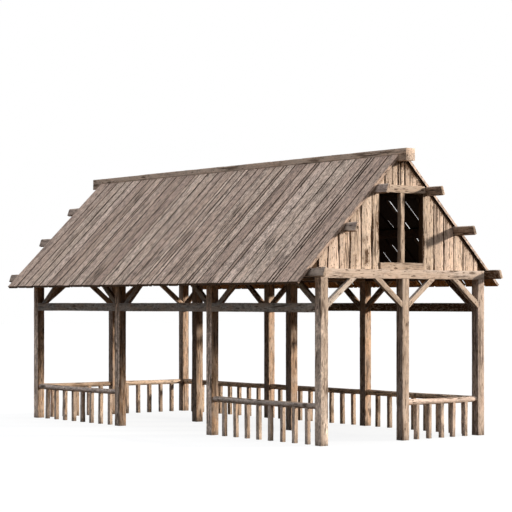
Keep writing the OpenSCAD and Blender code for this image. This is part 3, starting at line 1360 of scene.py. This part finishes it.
@dataclass
class GableBoarding(WoodPiece):
    """Upright waney boards of one gable, cut to the outline of the node.

    Sizes in metres. The widths are taken in turn from the loft opening outwards, at the front and at the
    back, and the joints over the collar are given from the middle. Boards are first made longer than
    their outline, by spare. Damp is an amount of painted shadow in a band just under the roof, under the
    front and under the back slope, darker at the back, where the verge's shadow falls.
    """

    suffix: ClassVar[str] = "_upright"
    outward: int
    front_widths: tuple[float, ...] = (0.20, 0.29, 0.29, 0.29, 0.29, 0.22)
    back_widths: tuple[float, ...] = (0.31, 0.29, 0.29, 0.27, 0.31)
    top_joints: tuple[float, ...] = (-0.44, -0.25, -0.1, 0.1)
    top_play: float = 0.01
    width_play: float = 0.02
    least_width: float = 0.08
    opening_gap: float = 0.004
    spare: float = 0.03
    thickened: float = 4.0
    bark_spots: tuple[BarkSpot, ...] = ()
    spot_width: float = 0.10
    spot_core: float = 1.6
    # Painted shadow: a band under the roof, how far down it reaches and how dark it is at the front and the
    # back.
    damp_reach: float = 0.16
    damp: Span = (0.3, 0.95)
    gap_shut: float = 0.010
    gap_open: float = 0.018
    station: float = 0.05
    wander: float = 0.008
    wane: float = 0.05
    wane_least: float = 0.004
    wane_depth: float = 0.02
    wane_bark: float = 0.25
    arris: float = 0.006
    arris_fall: float = 0.002
    heart_off: float = 0.12
    heart_depth: float = 0.07
    back_depth: float = 0.03
    lift: float = 0.006
    cup: float = 0.003
    nail_foot: float = 0.07
    nail_head: float = 0.2
    nail_sides: Span = (-0.045, 0.04)
    nail_play: Span = (0.02, 0.015)
    nail_least: float = 0.25
    ridge_half: float = 0.2
    nail_places: list[Spot] = field(default_factory=list)

    def shape(self) -> Draft:
        """Work the boards of the gable.

        Returns:
            The draft of the piece.
        """
        rough = Draft()
        outline = self._outline()
        low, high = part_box(self.node)
        roof = SlopePlane.of("back_roof")
        for index, group in enumerate(solids_of(outline)):
            ys, zs = ([vert.co[axis] for vert in group] for axis in (1, 2))
            self._panel(rough, roof, index, (min(ys), max(ys)), (min(zs), max(zs)), (low.x, high.x))
        return self._cut(rough, outline)

    def _outline(self) -> bmesh.types.BMesh:
        """Thicken the node's outline along X, so that it only cuts the boards' ends.

        Returns:
            The outline.
        """
        work = welded(self.node)
        low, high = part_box(self.node)
        middle = (low.x + high.x) / 2
        for vert in work.verts:
            vert.co.x = middle + self.thickened * (vert.co.x - middle)
        work.verts.index_update()
        return work

    def _joints(self, span: Span, chance: random.Random) -> list[float]:
        """Return the joints of a panel from one side to the other.

        Args:
            span: Lowest and highest Y of the panel.
            chance: Source of random numbers.

        Returns:
            The places, which reach a little past the outline on its outer sides.
        """
        low, high = span
        if low < 0.0 < high:
            inner_joints = [at + chance.uniform(-self.top_play, self.top_play) for at in self.top_joints]
            return [low - self.spare, *inner_joints, high + self.spare]
        inner, outer = (low, high) if low > 0 else (high, low)
        direction = math.copysign(1.0, outer)
        places = [inner + direction * self.opening_gap]
        for width in self.front_widths if outer < 0 else self.back_widths:
            play = chance.uniform(1.0 - self.width_play, 1.0 + self.width_play)
            places.append(places[-1] + direction * width * play)
        places = [at for at in places if abs(at) < abs(outer) - self.least_width]
        return sorted([*places, outer + direction * self.spare])

    def _panel(self, rough: Draft, roof: SlopePlane, index: int, span: Span, rise: Span, depth: Span) -> None:
        """Add the boards of one panel, longer than their outline, to the rough draft.

        Args:
            rough: The draft that they are added to.
            roof: The slope that says how high the roof is.
            index: Which panel.
            span: Lowest and highest Y.
            rise: Lowest and highest Z.
            depth: Lowest and highest X.
        """
        chance = source_of("boards", self.node, index)
        joints = self._joints(span, chance)
        face, back = (depth[1], depth[0]) if self.outward > 0 else depth
        foot, height = rise[0] - self.spare, rise[1] - rise[0] + 2 * self.spare
        count = max(4, round((rise[1] - rise[0]) / self.station))
        for board in range(len(joints) - 1):
            tone, shift = chance.random(), chance.uniform(*GRAIN_SHIFT)
            heart = chance.uniform(-self.heart_off, self.heart_off)
            sink = [chance.uniform(0.0, self.lift) for _ in range(2)]
            middle = (joints[board] + joints[board + 1]) / 2
            rings = []
            for k in range(count + 1):
                z = foot + height * k / count
                left, right = (self._edge(joints, board + side, z, 1 - 2 * side, index) for side in (0, 1))
                cup = self.cup * ripple(z * 1.3, shift, 0.0)
                first, second = (self._wane(z, shift, side) for side in (3.0, 8.0))
                section = ((left, self.wane_depth, 1.0),
                           (left + first, sink[0] + self.arris_fall, self.wane_bark),
                           (left + first + self.arris, sink[0], 0.0), (middle, sum(sink) / 2 + cup, 0.0),
                           (right - second - self.arris, sink[1], 0.0),
                           (right - second, sink[1] + self.arris_fall, self.wane_bark),
                           (right, self.wane_depth, 1.0))
                ring = []
                for y, inset, bark in section:
                    grain = Vector((z + shift, y - middle + heart, inset + self.heart_depth))
                    place = Vector((face - self.outward * inset, y, z))
                    # Painted shadow: the boards darken in a band just under the roof.
                    damp = self.damp[y > 0.0] * ease(1.0 - (self._head(roof, y) - z) / self.damp_reach)
                    ring.append(rough.point(place, grain, tone, 0.0, max(bark, damp, self._bark_left(y, z))))
                for y in (right, middle, left):
                    grain = Vector((z + shift, y - middle + heart, self.back_depth + self.heart_depth))
                    ring.append(rough.point(Vector((back, y, z)), grain, tone))
                rings.append(ring)
            rough.loft(rings)
            self._nail(chance, middle, (rise[0], self._head(roof, middle)), face, sum(sink) / 2)

    def _nail(self, chance: random.Random, middle: float, rise: Span, face: float, sink: float) -> None:
        """Note two nails near the foot of a board, or over the collar, and two under the roof.

        Args:
            chance: Source of random numbers.
            middle: Y of the board's middle line.
            rise: Heights of its foot and of the roof.
            face: X of the outer face.
            sink: How far the board lies behind that face.
        """
        if rise[1] - rise[0] < self.nail_least:
            return
        across, along = self.nail_play
        for z in (rise[0] + self.nail_foot, rise[1] - self.nail_head):
            for side in self.nail_sides:
                place = Vector((face - self.outward * sink, middle + side + chance.uniform(-across, across),
                                z + chance.uniform(-along, along)))
                self.nail_places.append((place, Vector((self.outward, 0.0, 0.0))))

    def _head(self, roof: SlopePlane, y: float) -> float:
        """Return the height of the roof's underside over a place on the gable."""
        return roof.place(0.0, roof.share_at(max(abs(y), self.ridge_half)), roof.thickness).z

    def _bark_left(self, y: float, z: float) -> float:
        """Work out how much bark is left at a place on the faces.

        Args:
            y: Place across the gable.
            z: Height of the place.

        Returns:
            The amount.
        """
        amounts = [0.0]
        for spot in self.bark_spots:
            away = math.hypot((y - spot.y) / self.spot_width, (z - spot.z) / spot.reach)
            amounts.append(spot.amount * ease(self.spot_core * (1.0 - away)))
        return max(amounts)

    def _wane(self, z: float, shift: float, side: float) -> float:
        """Work out how far the rounded, barky edge of a board reaches into its face.

        Args:
            z: Height of the place.
            shift: The board's own shift of the grain.
            side: A number for the edge.

        Returns:
            The width of the wane.
        """
        broad = max(0.0, ripple(z * 1.4 + shift, side, 0.0) + 0.05)
        broken = 0.5 + 0.5 * ripple(z * 9.0 + shift, side, 5.0)
        return self.wane_least + self.wane * broad * broken * 2.0

    def _edge(self, joints: list[float], index: int, z: float, sign: int, panel: int) -> float:
        """Work out where a board's edge lies.

        Args:
            joints: Places of the panel's joints.
            index: Which joint.
            z: Height of the place.
            sign: 1 for the board after the joint, -1 for the one before it.
            panel: Which panel.

        Returns:
            Y of the edge.
        """
        wave = ripple(z * 1.7, index * 4.3, panel * 9.1 + self.outward)
        small = 0.4 * ripple(z * 7.0, index * 2.3, panel * 5.7 + self.outward)
        opened = max(0.0, ripple(z * 1.1, index * 6.1, 30.0 + panel)) * 1.6
        gap = self.gap_shut + self.gap_open * min(1.0, opened)
        return joints[index] + self.wander * (wave + small) + sign * gap / 2

    def _cut(self, rough: Draft, outline: bmesh.types.BMesh) -> Draft:
        """Cut the rough boards to the outline.

        Args:
            rough: Boards that are longer than their outline.
            outline: The thickened outline.

        Returns:
            The cut boards, which take their attributes from the rough ones.
        """
        boards = put_in_scene("rough_boards", rough.mesh("rough_boards"))
        shape = put_in_scene("gable_outline", bpy.data.meshes.new("gable_outline"))
        outline.to_mesh(shape.data)
        outline.free()
        trim = boards.modifiers.new("trim", "BOOLEAN")
        trim.operation, trim.solver, trim.object = "INTERSECT", "EXACT", shape
        graph = bpy.context.evaluated_depsgraph_get()
        result = bpy.data.meshes.new_from_object(boards.evaluated_get(graph))
        tree = kdtree.KDTree(len(rough.points))
        for index, place in enumerate(rough.points):
            tree.insert(place, index)
        tree.balance()
        cut = Draft()
        for vert in result.vertices:
            _, nearest, _ = tree.find(vert.co)
            away = vert.co - rough.points[nearest]
            grain = rough.grain[nearest] + Vector((away.z, away.y, 0.0))
            cut.point(vert.co.copy(), grain, rough.tone[nearest], 0.0, rough.bark[nearest])
        cut.faces = [tuple(face.vertices) for face in result.polygons]
        for made in (boards, shape):
            bpy.data.objects.remove(made)
        bpy.data.meshes.remove(result)
        return cut


@dataclass
class LogRailing(WoodPiece):
    """One railing: a peeled log, a little crooked, on split stakes that stand on the ground.

    Sizes in metres, but lump and stake_rough are shares of a radius or a side, and twist is in radians.
    """

    suffix: ClassVar[str] = "_log"
    sides: int = 18
    station: float = 0.08
    crook: float = 0.012
    held_end: float = 0.5
    lump: float = 0.05
    lean: float = 0.010
    twist: float = 0.10
    stake_play: Span = (0.94, 1.03)
    stake_stations: int = 9
    stake_arris: float = 0.86
    stake_wobble: float = 0.005
    stake_rough: float = 0.05

    def shape(self) -> Draft:
        """Work the railing.

        Returns:
            The draft of the piece.
        """
        chance = source_of("railing", self.node)
        low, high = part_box(self.node)
        span = high - low
        along = Vector((1.0, 0.0, 0.0)) if span.x > span.y else Vector((0.0, 1.0, 0.0))
        ends = (low.dot(along), high.dot(along))
        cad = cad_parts[self.node].data.vertices
        radii = []
        for end in ends:
            rim = [vert.co.z for vert in cad if abs(vert.co.dot(along) - end) < NEAR]
            radii.append((max(rim) - min(rim)) / 2)
        start = (low + high) / 2
        start -= along * (start.dot(along) - ends[0])
        start.z = high.z - max(radii)
        draft = Draft()
        self._log(draft, chance, start, along, ends[1] - ends[0], radii)
        corners = sorted({round(vert.co.dot(along), 4) for vert in cad if abs(vert.co.z) < NEAR})
        for first, second in zip(corners[::2], corners[1::2]):
            foot = start + along * ((first + second) / 2 - ends[0])
            self._stake(draft, chance, Vector((foot.x, foot.y, 0.0)), along, second - first, start.z)
        return draft

    def _log(self, draft: Draft, chance: random.Random, start: Vector, along: Vector, length: float,
             radii: list[float]) -> None:
        """Add the log.

        Args:
            draft: The draft that it is added to.
            chance: Source of random numbers.
            start: Middle of its first end.
            along: Direction of the log.
            length: Its length.
            radii: Radius of each end.
        """
        across = Vector((-along.y, along.x, 0.0))
        shift, tone = chance.uniform(*GRAIN_SHIFT), chance.random()
        count = round(length / self.station)
        rings = []
        for k in range(count + 1):
            at = length * k / count
            crook = self.crook * ease(min(at, length - at) / self.held_end)
            centre = start + along * at + across * (crook * ripple(at * 0.7 + shift, 2.0, 0.0))
            centre.z -= crook * (0.5 - 0.5 * ripple(at * 0.7 + shift, 7.0, 0.0))
            radius = radii[0] + (radii[1] - radii[0]) * k / count
            ring = []
            for j in range(self.sides):
                turn = math.tau * j / self.sides
                out = across * math.cos(turn) + Vector((0.0, 0.0, math.sin(turn)))
                bulge = ripple(at * 2.6 + shift, 1.6 * math.cos(turn), 1.6 * math.sin(turn))
                reach = radius * (1.0 - self.lump * (0.6 - 0.6 * bulge))
                grain = Vector((at + shift, out.dot(across) * reach, out.z * reach))
                ring.append(draft.point(centre + out * reach, grain, tone))
            rings.append(ring)
        draft.loft(rings)

    def _stake(self, draft: Draft, chance: random.Random, foot: Vector, along: Vector, width: float,
               top: float) -> None:
        """Add one stake from the ground into the log.

        Args:
            draft: The draft that it is added to.
            chance: Source of random numbers.
            foot: Middle of the stake on the ground.
            along: Direction of the log.
            width: Width of the stake.
            top: Height of the log's middle line.
        """
        across = Vector((-along.y, along.x, 0.0))
        shift, tone = chance.uniform(*GRAIN_SHIFT), chance.random()
        lean = [chance.uniform(-self.lean, self.lean) for _ in range(2)]
        twist = chance.uniform(-self.twist, self.twist)
        size = [width / 2 * chance.uniform(*self.stake_play) for _ in range(2)]
        flat = self.stake_arris
        outline = ((1.0, flat), (flat, 1.0), (-flat, 1.0), (-1.0, flat),
                   (-1.0, -flat), (-flat, -1.0), (flat, -1.0), (1.0, -flat))
        rings = []
        for k in range(self.stake_stations + 1):
            rise = k / self.stake_stations
            wobble = self.stake_wobble * ripple(rise * 3.0, shift, 0.0)
            middle = foot + along * (lean[0] * (1.0 - rise) + wobble) + across * (lean[1] * (1.0 - rise))
            middle.z = rise * top
            turn = twist * (1.0 - rise)
            ring = []
            for a, b in outline:
                rough = 1.0 + self.stake_rough * ripple(rise * 5.0, shift + a * 2.0, b * 2.0)
                u, v = a * size[0] * rough, b * size[1] * rough
                side = along * (u * math.cos(turn) - v * math.sin(turn))
                side += across * (u * math.sin(turn) + v * math.cos(turn))
                grain = Vector((rise * top + shift, u + 0.02, v + 0.03))
                ring.append(draft.point(middle + side, grain, tone, 1.0))
            rings.append(ring)
        draft.loft(rings)


@dataclass
class Fastenings:
    """Nail heads on the boards and wooden pegs in the frame's joints.

    A profile holds the height over the face and the radius of each ring of a head, in metres.
    """

    nail: tuple[Span, ...] = ((-0.004, 0.0064), (0.0, 0.008), (0.0024, 0.0076), (0.004, 0.0036))
    peg: tuple[Span, ...] = ((-0.012, 0.012), (0.0056, 0.01164), (0.008, 0.00864))
    peg_inset: float = 0.13
    sides: int = 8

    def nails(self, name: str, places: list[Spot], material: bpy.types.Material,
              slot: Slot) -> bpy.types.Object:
        """Build nail heads.

        Args:
            name: Name of the piece.
            places: Where each nail sits, and which way it points.
            material: The iron.
            slot: The record's slot of the boards.

        Returns:
            The piece with all heads.
        """
        return self._heads(places, self.nail).piece(name, material, slot)

    def pegs(self, name: str, nodes: tuple[str, ...], material: bpy.types.Material) -> bpy.types.Object:
        """Build pegs.

        Args:
            name: Name of the piece.
            nodes: The nodes with the knee braces.
            material: The wood.

        Returns:
            The piece with a peg on both faces of each end of every brace.
        """
        places = []
        for node in nodes:
            flat = Vector((1.0, 0.0, 0.0)) if node.startswith("frame") else Vector((0.0, 1.0, 0.0))
            for work in split_solids(node):
                axes = TimberAxes.of(work)
                half = max(abs((vert.co - axes.start).dot(flat)) for vert in work.verts)
                for at in (self.peg_inset, axes.length - self.peg_inset):
                    middle = axes.start + axes.along * at
                    places += [(middle + flat * (sign * half), flat * sign) for sign in (-1.0, 1.0)]
                work.free()
        return self._heads(places, self.peg).piece(name, material, Slot.FRAME)

    def _heads(self, places: list[Spot], profile: tuple[Span, ...]) -> Draft:
        """Make a small round head at each place.

        Args:
            places: Where each head sits, and which way it points.
            profile: Height and radius of its rings.

        Returns:
            The draft of all heads.
        """
        draft = Draft()
        for place, out in places:
            across = out.orthogonal().normalized()
            other = out.cross(across)
            rings = []
            for lift, radius in profile:
                ring = []
                for k in range(self.sides):
                    turn = math.tau * k / self.sides
                    reach = across * (radius * math.cos(turn)) + other * (radius * math.sin(turn))
                    spot = place + out * lift + reach
                    ring.append(draft.point(spot, Vector((lift + spot.x, *reach.xy)), 0.5))
                rings.append(ring)
            draft.loft(rings)
        return draft


@dataclass
class Studio:
    """Camera, sun, sky and floor.

    Places in metres, lens and sensor in millimetres, the heading and the sun's width in degrees. The sky is
    white and the floor pale to the eye, while light comes from the zenith and a little from the floor.
    """

    eye: Vector = field(default_factory=lambda: Vector((30.5875, -23.814, 2.771)))
    heading: float = 141.453
    lens: float = 119.64
    sensor: float = 36.0
    rise: float = 0.0927
    sight: float = 400.0
    to_sun: Vector = field(default_factory=lambda: Vector((0.556, 0.782, 0.28)))
    sun_strength: float = 6.2
    sun_colour: Colour = (1.0, 0.93, 0.84)
    sun_width: float = 5.5
    zenith: Colour = (2.75, 2.86, 3.05)
    zenith_focus: float = 3.4
    horizon: Colour = (0.122, 0.134, 0.150)
    floor_colour: Colour = (0.8, 0.8, 0.8)
    floor_glow: float = 0.87
    floor_bounce: Colour = (0.06, 0.034, 0.014)
    floor_reach: float = 160.0

    def build(self) -> None:
        """Set up the whole studio."""
        self._camera()
        self._sun()
        self._sky()
        self._floor()
        bpy.context.scene.view_settings.view_transform = "Standard"

    def _camera(self) -> None:
        """Place the level camera of the photograph."""
        data = bpy.data.cameras.new("camera")
        data.sensor_width = self.sensor
        data.lens = self.lens
        data.shift_y = self.rise
        data.clip_end = self.sight
        made = put_in_scene("camera", data)
        made.location = self.eye
        made.rotation_euler = (math.radians(90.0), 0.0, math.radians(self.heading - 90.0))
        bpy.context.scene.camera = made

    def _sun(self) -> None:
        """Place the low sun behind the right gable."""
        data = bpy.data.lights.new("sun", "SUN")
        data.energy = self.sun_strength
        data.color = self.sun_colour
        data.angle = math.radians(self.sun_width)
        put_in_scene("sun", data).rotation_euler = self.to_sun.to_track_quat("Z", "Y").to_euler()

    @staticmethod
    def _seen(wiring: Wiring) -> Socket:
        """Tell what the eye sees from light.

        Args:
            wiring: Wiring of the sky or the floor.

        Returns:
            1 for what the eye sees, also mirrored or through a gap, and 0 for light.
        """
        rays = wiring.node("ShaderNodeLightPath").outputs
        seen = wiring.larger(rays["Is Camera Ray"], rays["Is Glossy Ray"])
        return wiring.larger(seen, rays["Is Transmission Ray"])

    def _sky(self) -> None:
        """Light from above, dim towards the horizon, and white behind the object."""
        world = bpy.data.worlds.new("sky")
        world.use_nodes = True
        world.node_tree.nodes.clear()
        bpy.context.scene.world = world
        wiring = Wiring(world.node_tree)
        height = wiring.parts(wiring.node("ShaderNodeTexCoord").outputs["Generated"])["Z"]
        upward = wiring.math("POWER", wiring.larger(height, 0.0), self.zenith_focus)
        light = wiring.mix(upward, self.horizon, self.zenith)
        background = wiring.node("ShaderNodeBackground")
        wiring.feed(background.inputs["Color"], wiring.mix(self._seen(wiring), light, WHITE))
        wiring.close(background.outputs[0], "World")

    def _floor(self) -> None:
        """Lay the pale floor, which shows the object's shadow."""
        reach = self.floor_reach
        data = bpy.data.meshes.new("floor")
        corners = [(x * reach, y * reach, 0.0) for x, y in ((-1, -1), (1, -1), (1, 1), (-1, 1))]
        data.from_pydata(corners, [], [(0, 1, 2, 3)])
        material, wiring = Wiring.of_material("pale_floor")
        seen = self._seen(wiring)
        matt = wiring.node("ShaderNodeBsdfDiffuse")
        wiring.feed(matt.inputs["Color"], wiring.mix(seen, self.floor_bounce, self.floor_colour))
        glow = wiring.node("ShaderNodeEmission")
        blend = wiring.node("ShaderNodeMixShader")
        shares = (wiring.times(seen, self.floor_glow), matt.outputs[0], glow.outputs[0])
        for socket, value in zip(blend.inputs, shares):
            wiring.feed(socket, value)
        wiring.close(blend.outputs[0])
        data.materials.append(material)
        put_in_scene("floor", data)


FRAME_WOOD = WoodFinish(
    "weathered_frame_timber", Slot.FRAME, pale=(0.51, 0.40, 0.315), brown=(0.30, 0.22, 0.16),
    grey=(0.40, 0.37, 0.34), stain=(0.10, 0.08, 0.065), greyness=0.22, stains=0.3, knots=0.5, cracks=0.7,
    contrast=1.3, mottled=0.58, weather_side=0.75, sheltered=(1.12, 0.91, 0.72))
# Painted light: the grey lifts the front faces, which lie in shade, and faces square to X, which the sun
# lights, are dimmed.
FRONT_POST_WOOD = replace(
    FRAME_WOOD, name="front_posts_weathered_and_painted_light", pale=(0.425, 0.33, 0.258), brown=(0.265, 0.195, 0.14),
    grey=(0.80, 0.66, 0.555), contrast=1.6, cracks=0.9, sides=(0.82, 0.7, 1.0))
# Painted shade: the darker grey dims the inner posts' faces towards -Y, which lie in shade.
INNER_POST_WOOD = replace(
    FRAME_WOOD, name="inner_posts_weathered_and_painted_shade", grey=(0.30, 0.245, 0.21), contrast=1.5, cracks=0.9,
    sheltered=(1.2, 1.02, 0.86))
# Painted light: the pale neutral grey lifts the girts' faces towards -Y, which lie in shade under the eaves.
GIRT_WOOD = replace(
    FRAME_WOOD, name="girts_weathered_and_painted_light", grey=(0.53, 0.525, 0.50), weather_side=1.0)
PURLIN_WOOD = replace(
    FRAME_WOOD, name="weathered_low_purlins", grey=(0.33, 0.265, 0.225))
# Painted shade: darker umber and near black dark_wood for the purlins inside the dark loft.
LOFT_PAINTED_SHADE_WOOD = replace(
    PURLIN_WOOD, name="purlins_weathered_and_painted_loft_shade", umber=(0.045, 0.022, 0.010), dark_wood=(0.016, 0.008, 0.004),
    gloss=0.06)
# Painted light and shade: a paler copy that lifts the ridge's front face, which lies in shade; its top, lit
# by the sky, is dimmed.
RIDGE_PAINTED_LIGHT_WOOD = replace(
    FRAME_WOOD, name="ridge_timber_weathered_and_painted_light", pale=(0.64, 0.50, 0.39), brown=(0.42, 0.31, 0.225),
    grey=(0.50, 0.42, 0.355), weather_side=0.0, sheltered=WHITE, sides=(1.0, 0.7, 0.62))
# Painted shade: near black wood for the eaves beams, rafters and loft jambs, which lie in shade.
INTERIOR_PAINTED_SHADE_WOOD = replace(
    FRAME_WOOD, name="interior_timber_painted_shade", pale=(0.075, 0.043, 0.024), brown=(0.045, 0.025, 0.014),
    grey=(0.06, 0.04, 0.027), stain=(0.02, 0.012, 0.008), weather_side=0.0, gloss=0.04)
# dark_wood darkens knots and cracks, and also paints the shade on the undersides in the loft.
ROOF_WOOD = WoodFinish(
    "weathered_roof_boards", Slot.ROOF, pale=(0.55, 0.416, 0.335), brown=(0.335, 0.24, 0.182),
    grey=(0.45, 0.357, 0.29), stain=(0.166, 0.124, 0.099), greyness=0.45, stains=0.72, knots=0.15, cracks=0.6,
    contrast=1.55, mottled=0.76, umber=(0.09, 0.043, 0.016), dark_wood=(0.030, 0.016, 0.008))
# Painted light and shade: darker boards for the slope that faces the sun, an orange umber for the glow of
# bounced light under the eave, faces square to X lifted, and near black dark_wood for the dark loft.
BACK_ROOF_PAINTED_LIGHT_WOOD = replace(
    ROOF_WOOD, name="back_roof_boards_painted_light", pale=(0.33, 0.265, 0.22), brown=(0.20, 0.15, 0.12),
    grey=(0.27, 0.225, 0.195), stain=(0.10, 0.08, 0.065), umber=(0.27, 0.122, 0.030),
    dark_wood=(0.012, 0.006, 0.003), gloss=0.03, sides=(1.9, 1.0, 1.0))
GABLE_WOOD = WoodFinish(
    "sunlit_gable_boards", Slot.GABLE, pale=(0.69, 0.546, 0.437), brown=(0.40, 0.30, 0.22),
    grey=(0.506, 0.42, 0.35), stain=(0.12, 0.085, 0.06), greyness=0.15, stains=0.4, knots=0.45, cracks=0.9,
    contrast=1.3, mottled=0.66)
TRIM_WOOD = replace(
    GABLE_WOOD, name="sunlit_gable_trim", pale=(0.48, 0.375, 0.29), brown=(0.28, 0.205, 0.145),
    grey=(0.35, 0.285, 0.23))
RAIL_WOOD = WoodFinish(
    "peeled_railing_wood", Slot.RAILING, pale=(0.54, 0.42, 0.33), brown=(0.33, 0.235, 0.17),
    grey=(0.60, 0.51, 0.445), stain=(0.14, 0.10, 0.07), greyness=0.12, stains=0.1, rings=55.0, knots=0.45,
    cracks=0.8, contrast=1.45, weather_side=0.8, sheltered=(1.0, 0.93, 0.84))
# Painted light: a pale warm grey lifts the back railings' faces towards -Y, which lie in shade.
BACK_RAIL_PAINTED_LIGHT_WOOD = replace(
    RAIL_WOOD, name="back_railing_peeled_and_painted_light", grey=(0.80, 0.62, 0.46))

FRAME_BRACES = ("frame_braces_1", "frame_braces_4")
EAVES_BRACES = ("front_eaves_braces", "back_eaves_braces")
RAILING_NODES = (
    "front_left_railing", "front_right_railing", "back_left_railing", "back_middle_railing",
    "back_right_railing", "left_front_railing", "left_back_railing", "right_back_railing")

BACK_SLITS = tuple(Slit(*row) for row in (
    (0.41, 0.90, 0.985, 0.018), (0.875, 0.92, 0.985, 0.016), (2.686, 0.705, 0.80, 0.009),
    (3.14, 0.64, 0.725, 0.010), (3.14, 0.90, 0.985, 0.018), (3.57, 0.435, 0.52, 0.004),
    (4.035, 0.30, 0.405, 0.018), (4.035, 0.465, 0.545, 0.019), (4.035, 0.605, 0.695, 0.019),
    (4.035, 0.89, 0.99, 0.022), (4.49, 0.31, 0.515, 0.008), (4.49, 0.89, 0.99, 0.020),
    (4.94, 0.30, 0.345, 0.016)))
BARK_SPOTS = tuple(BarkSpot(*row) for row in (
    (-0.64, 4.42, 0.30, 0.58), (-0.61, 3.95, 0.18, 0.55), (-1.0, 4.05, 0.14, 0.45),
    (-0.95, 3.70, 0.22, 0.62), (-1.24, 3.66, 0.12, 0.3)))


def timbers() -> list[HewnTimbers]:
    """List the hewn timbers, in the order in which they are built.

    Returns:
        One entry for each node, with its finish and its own settings.
    """
    loft = (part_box("left_gable_boards")[0].x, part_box("right_gable_boards")[1].x)
    seam = SlopePlane.of("front_roof").top_ridge.z
    trim = {"bow": 0.012, "nick": 0.02, "section": 0.09}
    rows = (
        (FRONT_POST_WOOD, {"tone_span": (0.7, 0.92)}, ("front_posts",)),
        (INNER_POST_WOOD, {"tone_span": (0.0, 0.55)}, ("middle_posts",)),
        (INNER_POST_WOOD, {"tone_span": (0.9, 1.0)}, ("back_posts",)),
        (FRAME_WOOD, {}, ("tie_beam_1", "tie_beam_2", "tie_beam_3", *FRAME_BRACES)),
        (FRAME_WOOD, {"tone_span": (0.6, 0.75)}, ("tie_beam_4",)),
        (GIRT_WOOD, {"sooty_inside": 0.5}, ("front_girts", "back_girts", *EAVES_BRACES)),
        (PURLIN_WOOD, {"sooty_inside": 0.45}, ("front_low_purlin", "back_low_purlin")),
        (LOFT_PAINTED_SHADE_WOOD, {"sooty_span": loft}, ("front_mid_purlin", "front_top_purlin")),
        (LOFT_PAINTED_SHADE_WOOD, {"sooty_span": loft}, ("back_mid_purlin", "back_top_purlin")),
        (INTERIOR_PAINTED_SHADE_WOOD, {}, ("front_eaves_beams", "back_eaves_beams")),
        (INTERIOR_PAINTED_SHADE_WOOD, {}, ("front_rafters", "back_rafters", "loft_jambs")),
        (RIDGE_PAINTED_LIGHT_WOOD, {"seam_height": seam}, ("ridge_beam",)),
        (TRIM_WOOD, {**trim, "tone_span": (0.3, 0.5)}, ("left_collar", "right_collar")),
        (TRIM_WOOD, {**trim, "tone_span": (0.0, 0.2)}, ("left_mullion", "right_mullion")),
        (TRIM_WOOD, {**trim, "tone_span": (0.0, 0.2)}, ("left_sill", "right_sill")),
    )
    return [HewnTimbers(node, finish, **own) for finish, own, nodes in rows for node in nodes]


def main() -> None:
    """Build the studio and then the stall, piece by piece."""
    logging.basicConfig(level=logging.INFO, format="%(name)s: %(message)s")
    Studio().build()
    palette = Palette()
    for piece in timbers():
        piece.build(palette)
    fastenings = Fastenings()
    fastenings.pegs("frame_pegs", (*FRAME_BRACES, *EAVES_BRACES), palette.wood(FRAME_WOOD))
    for boarding in (
            RoofBoarding("front_roof", ROOF_WOOD, Side.FRONT),
            RoofBoarding("back_roof", BACK_ROOF_PAINTED_LIGHT_WOOD, Side.BACK, slits=BACK_SLITS, uneven=0.009),
            GableBoarding("right_gable_boards", GABLE_WOOD, 1, bark_spots=BARK_SPOTS),
            GableBoarding("left_gable_boards", GABLE_WOOD, -1, bark_spots=BARK_SPOTS)):
        boarding.build(palette)
        fastenings.nails(boarding.node + "_nails", boarding.nail_places, palette.iron, boarding.finish.slot)
    for node in RAILING_NODES:
        LogRailing(node, BACK_RAIL_PAINTED_LIGHT_WOOD if node.startswith("back") else RAIL_WOOD).build(palette)


if __name__ == "__main__":
    main()
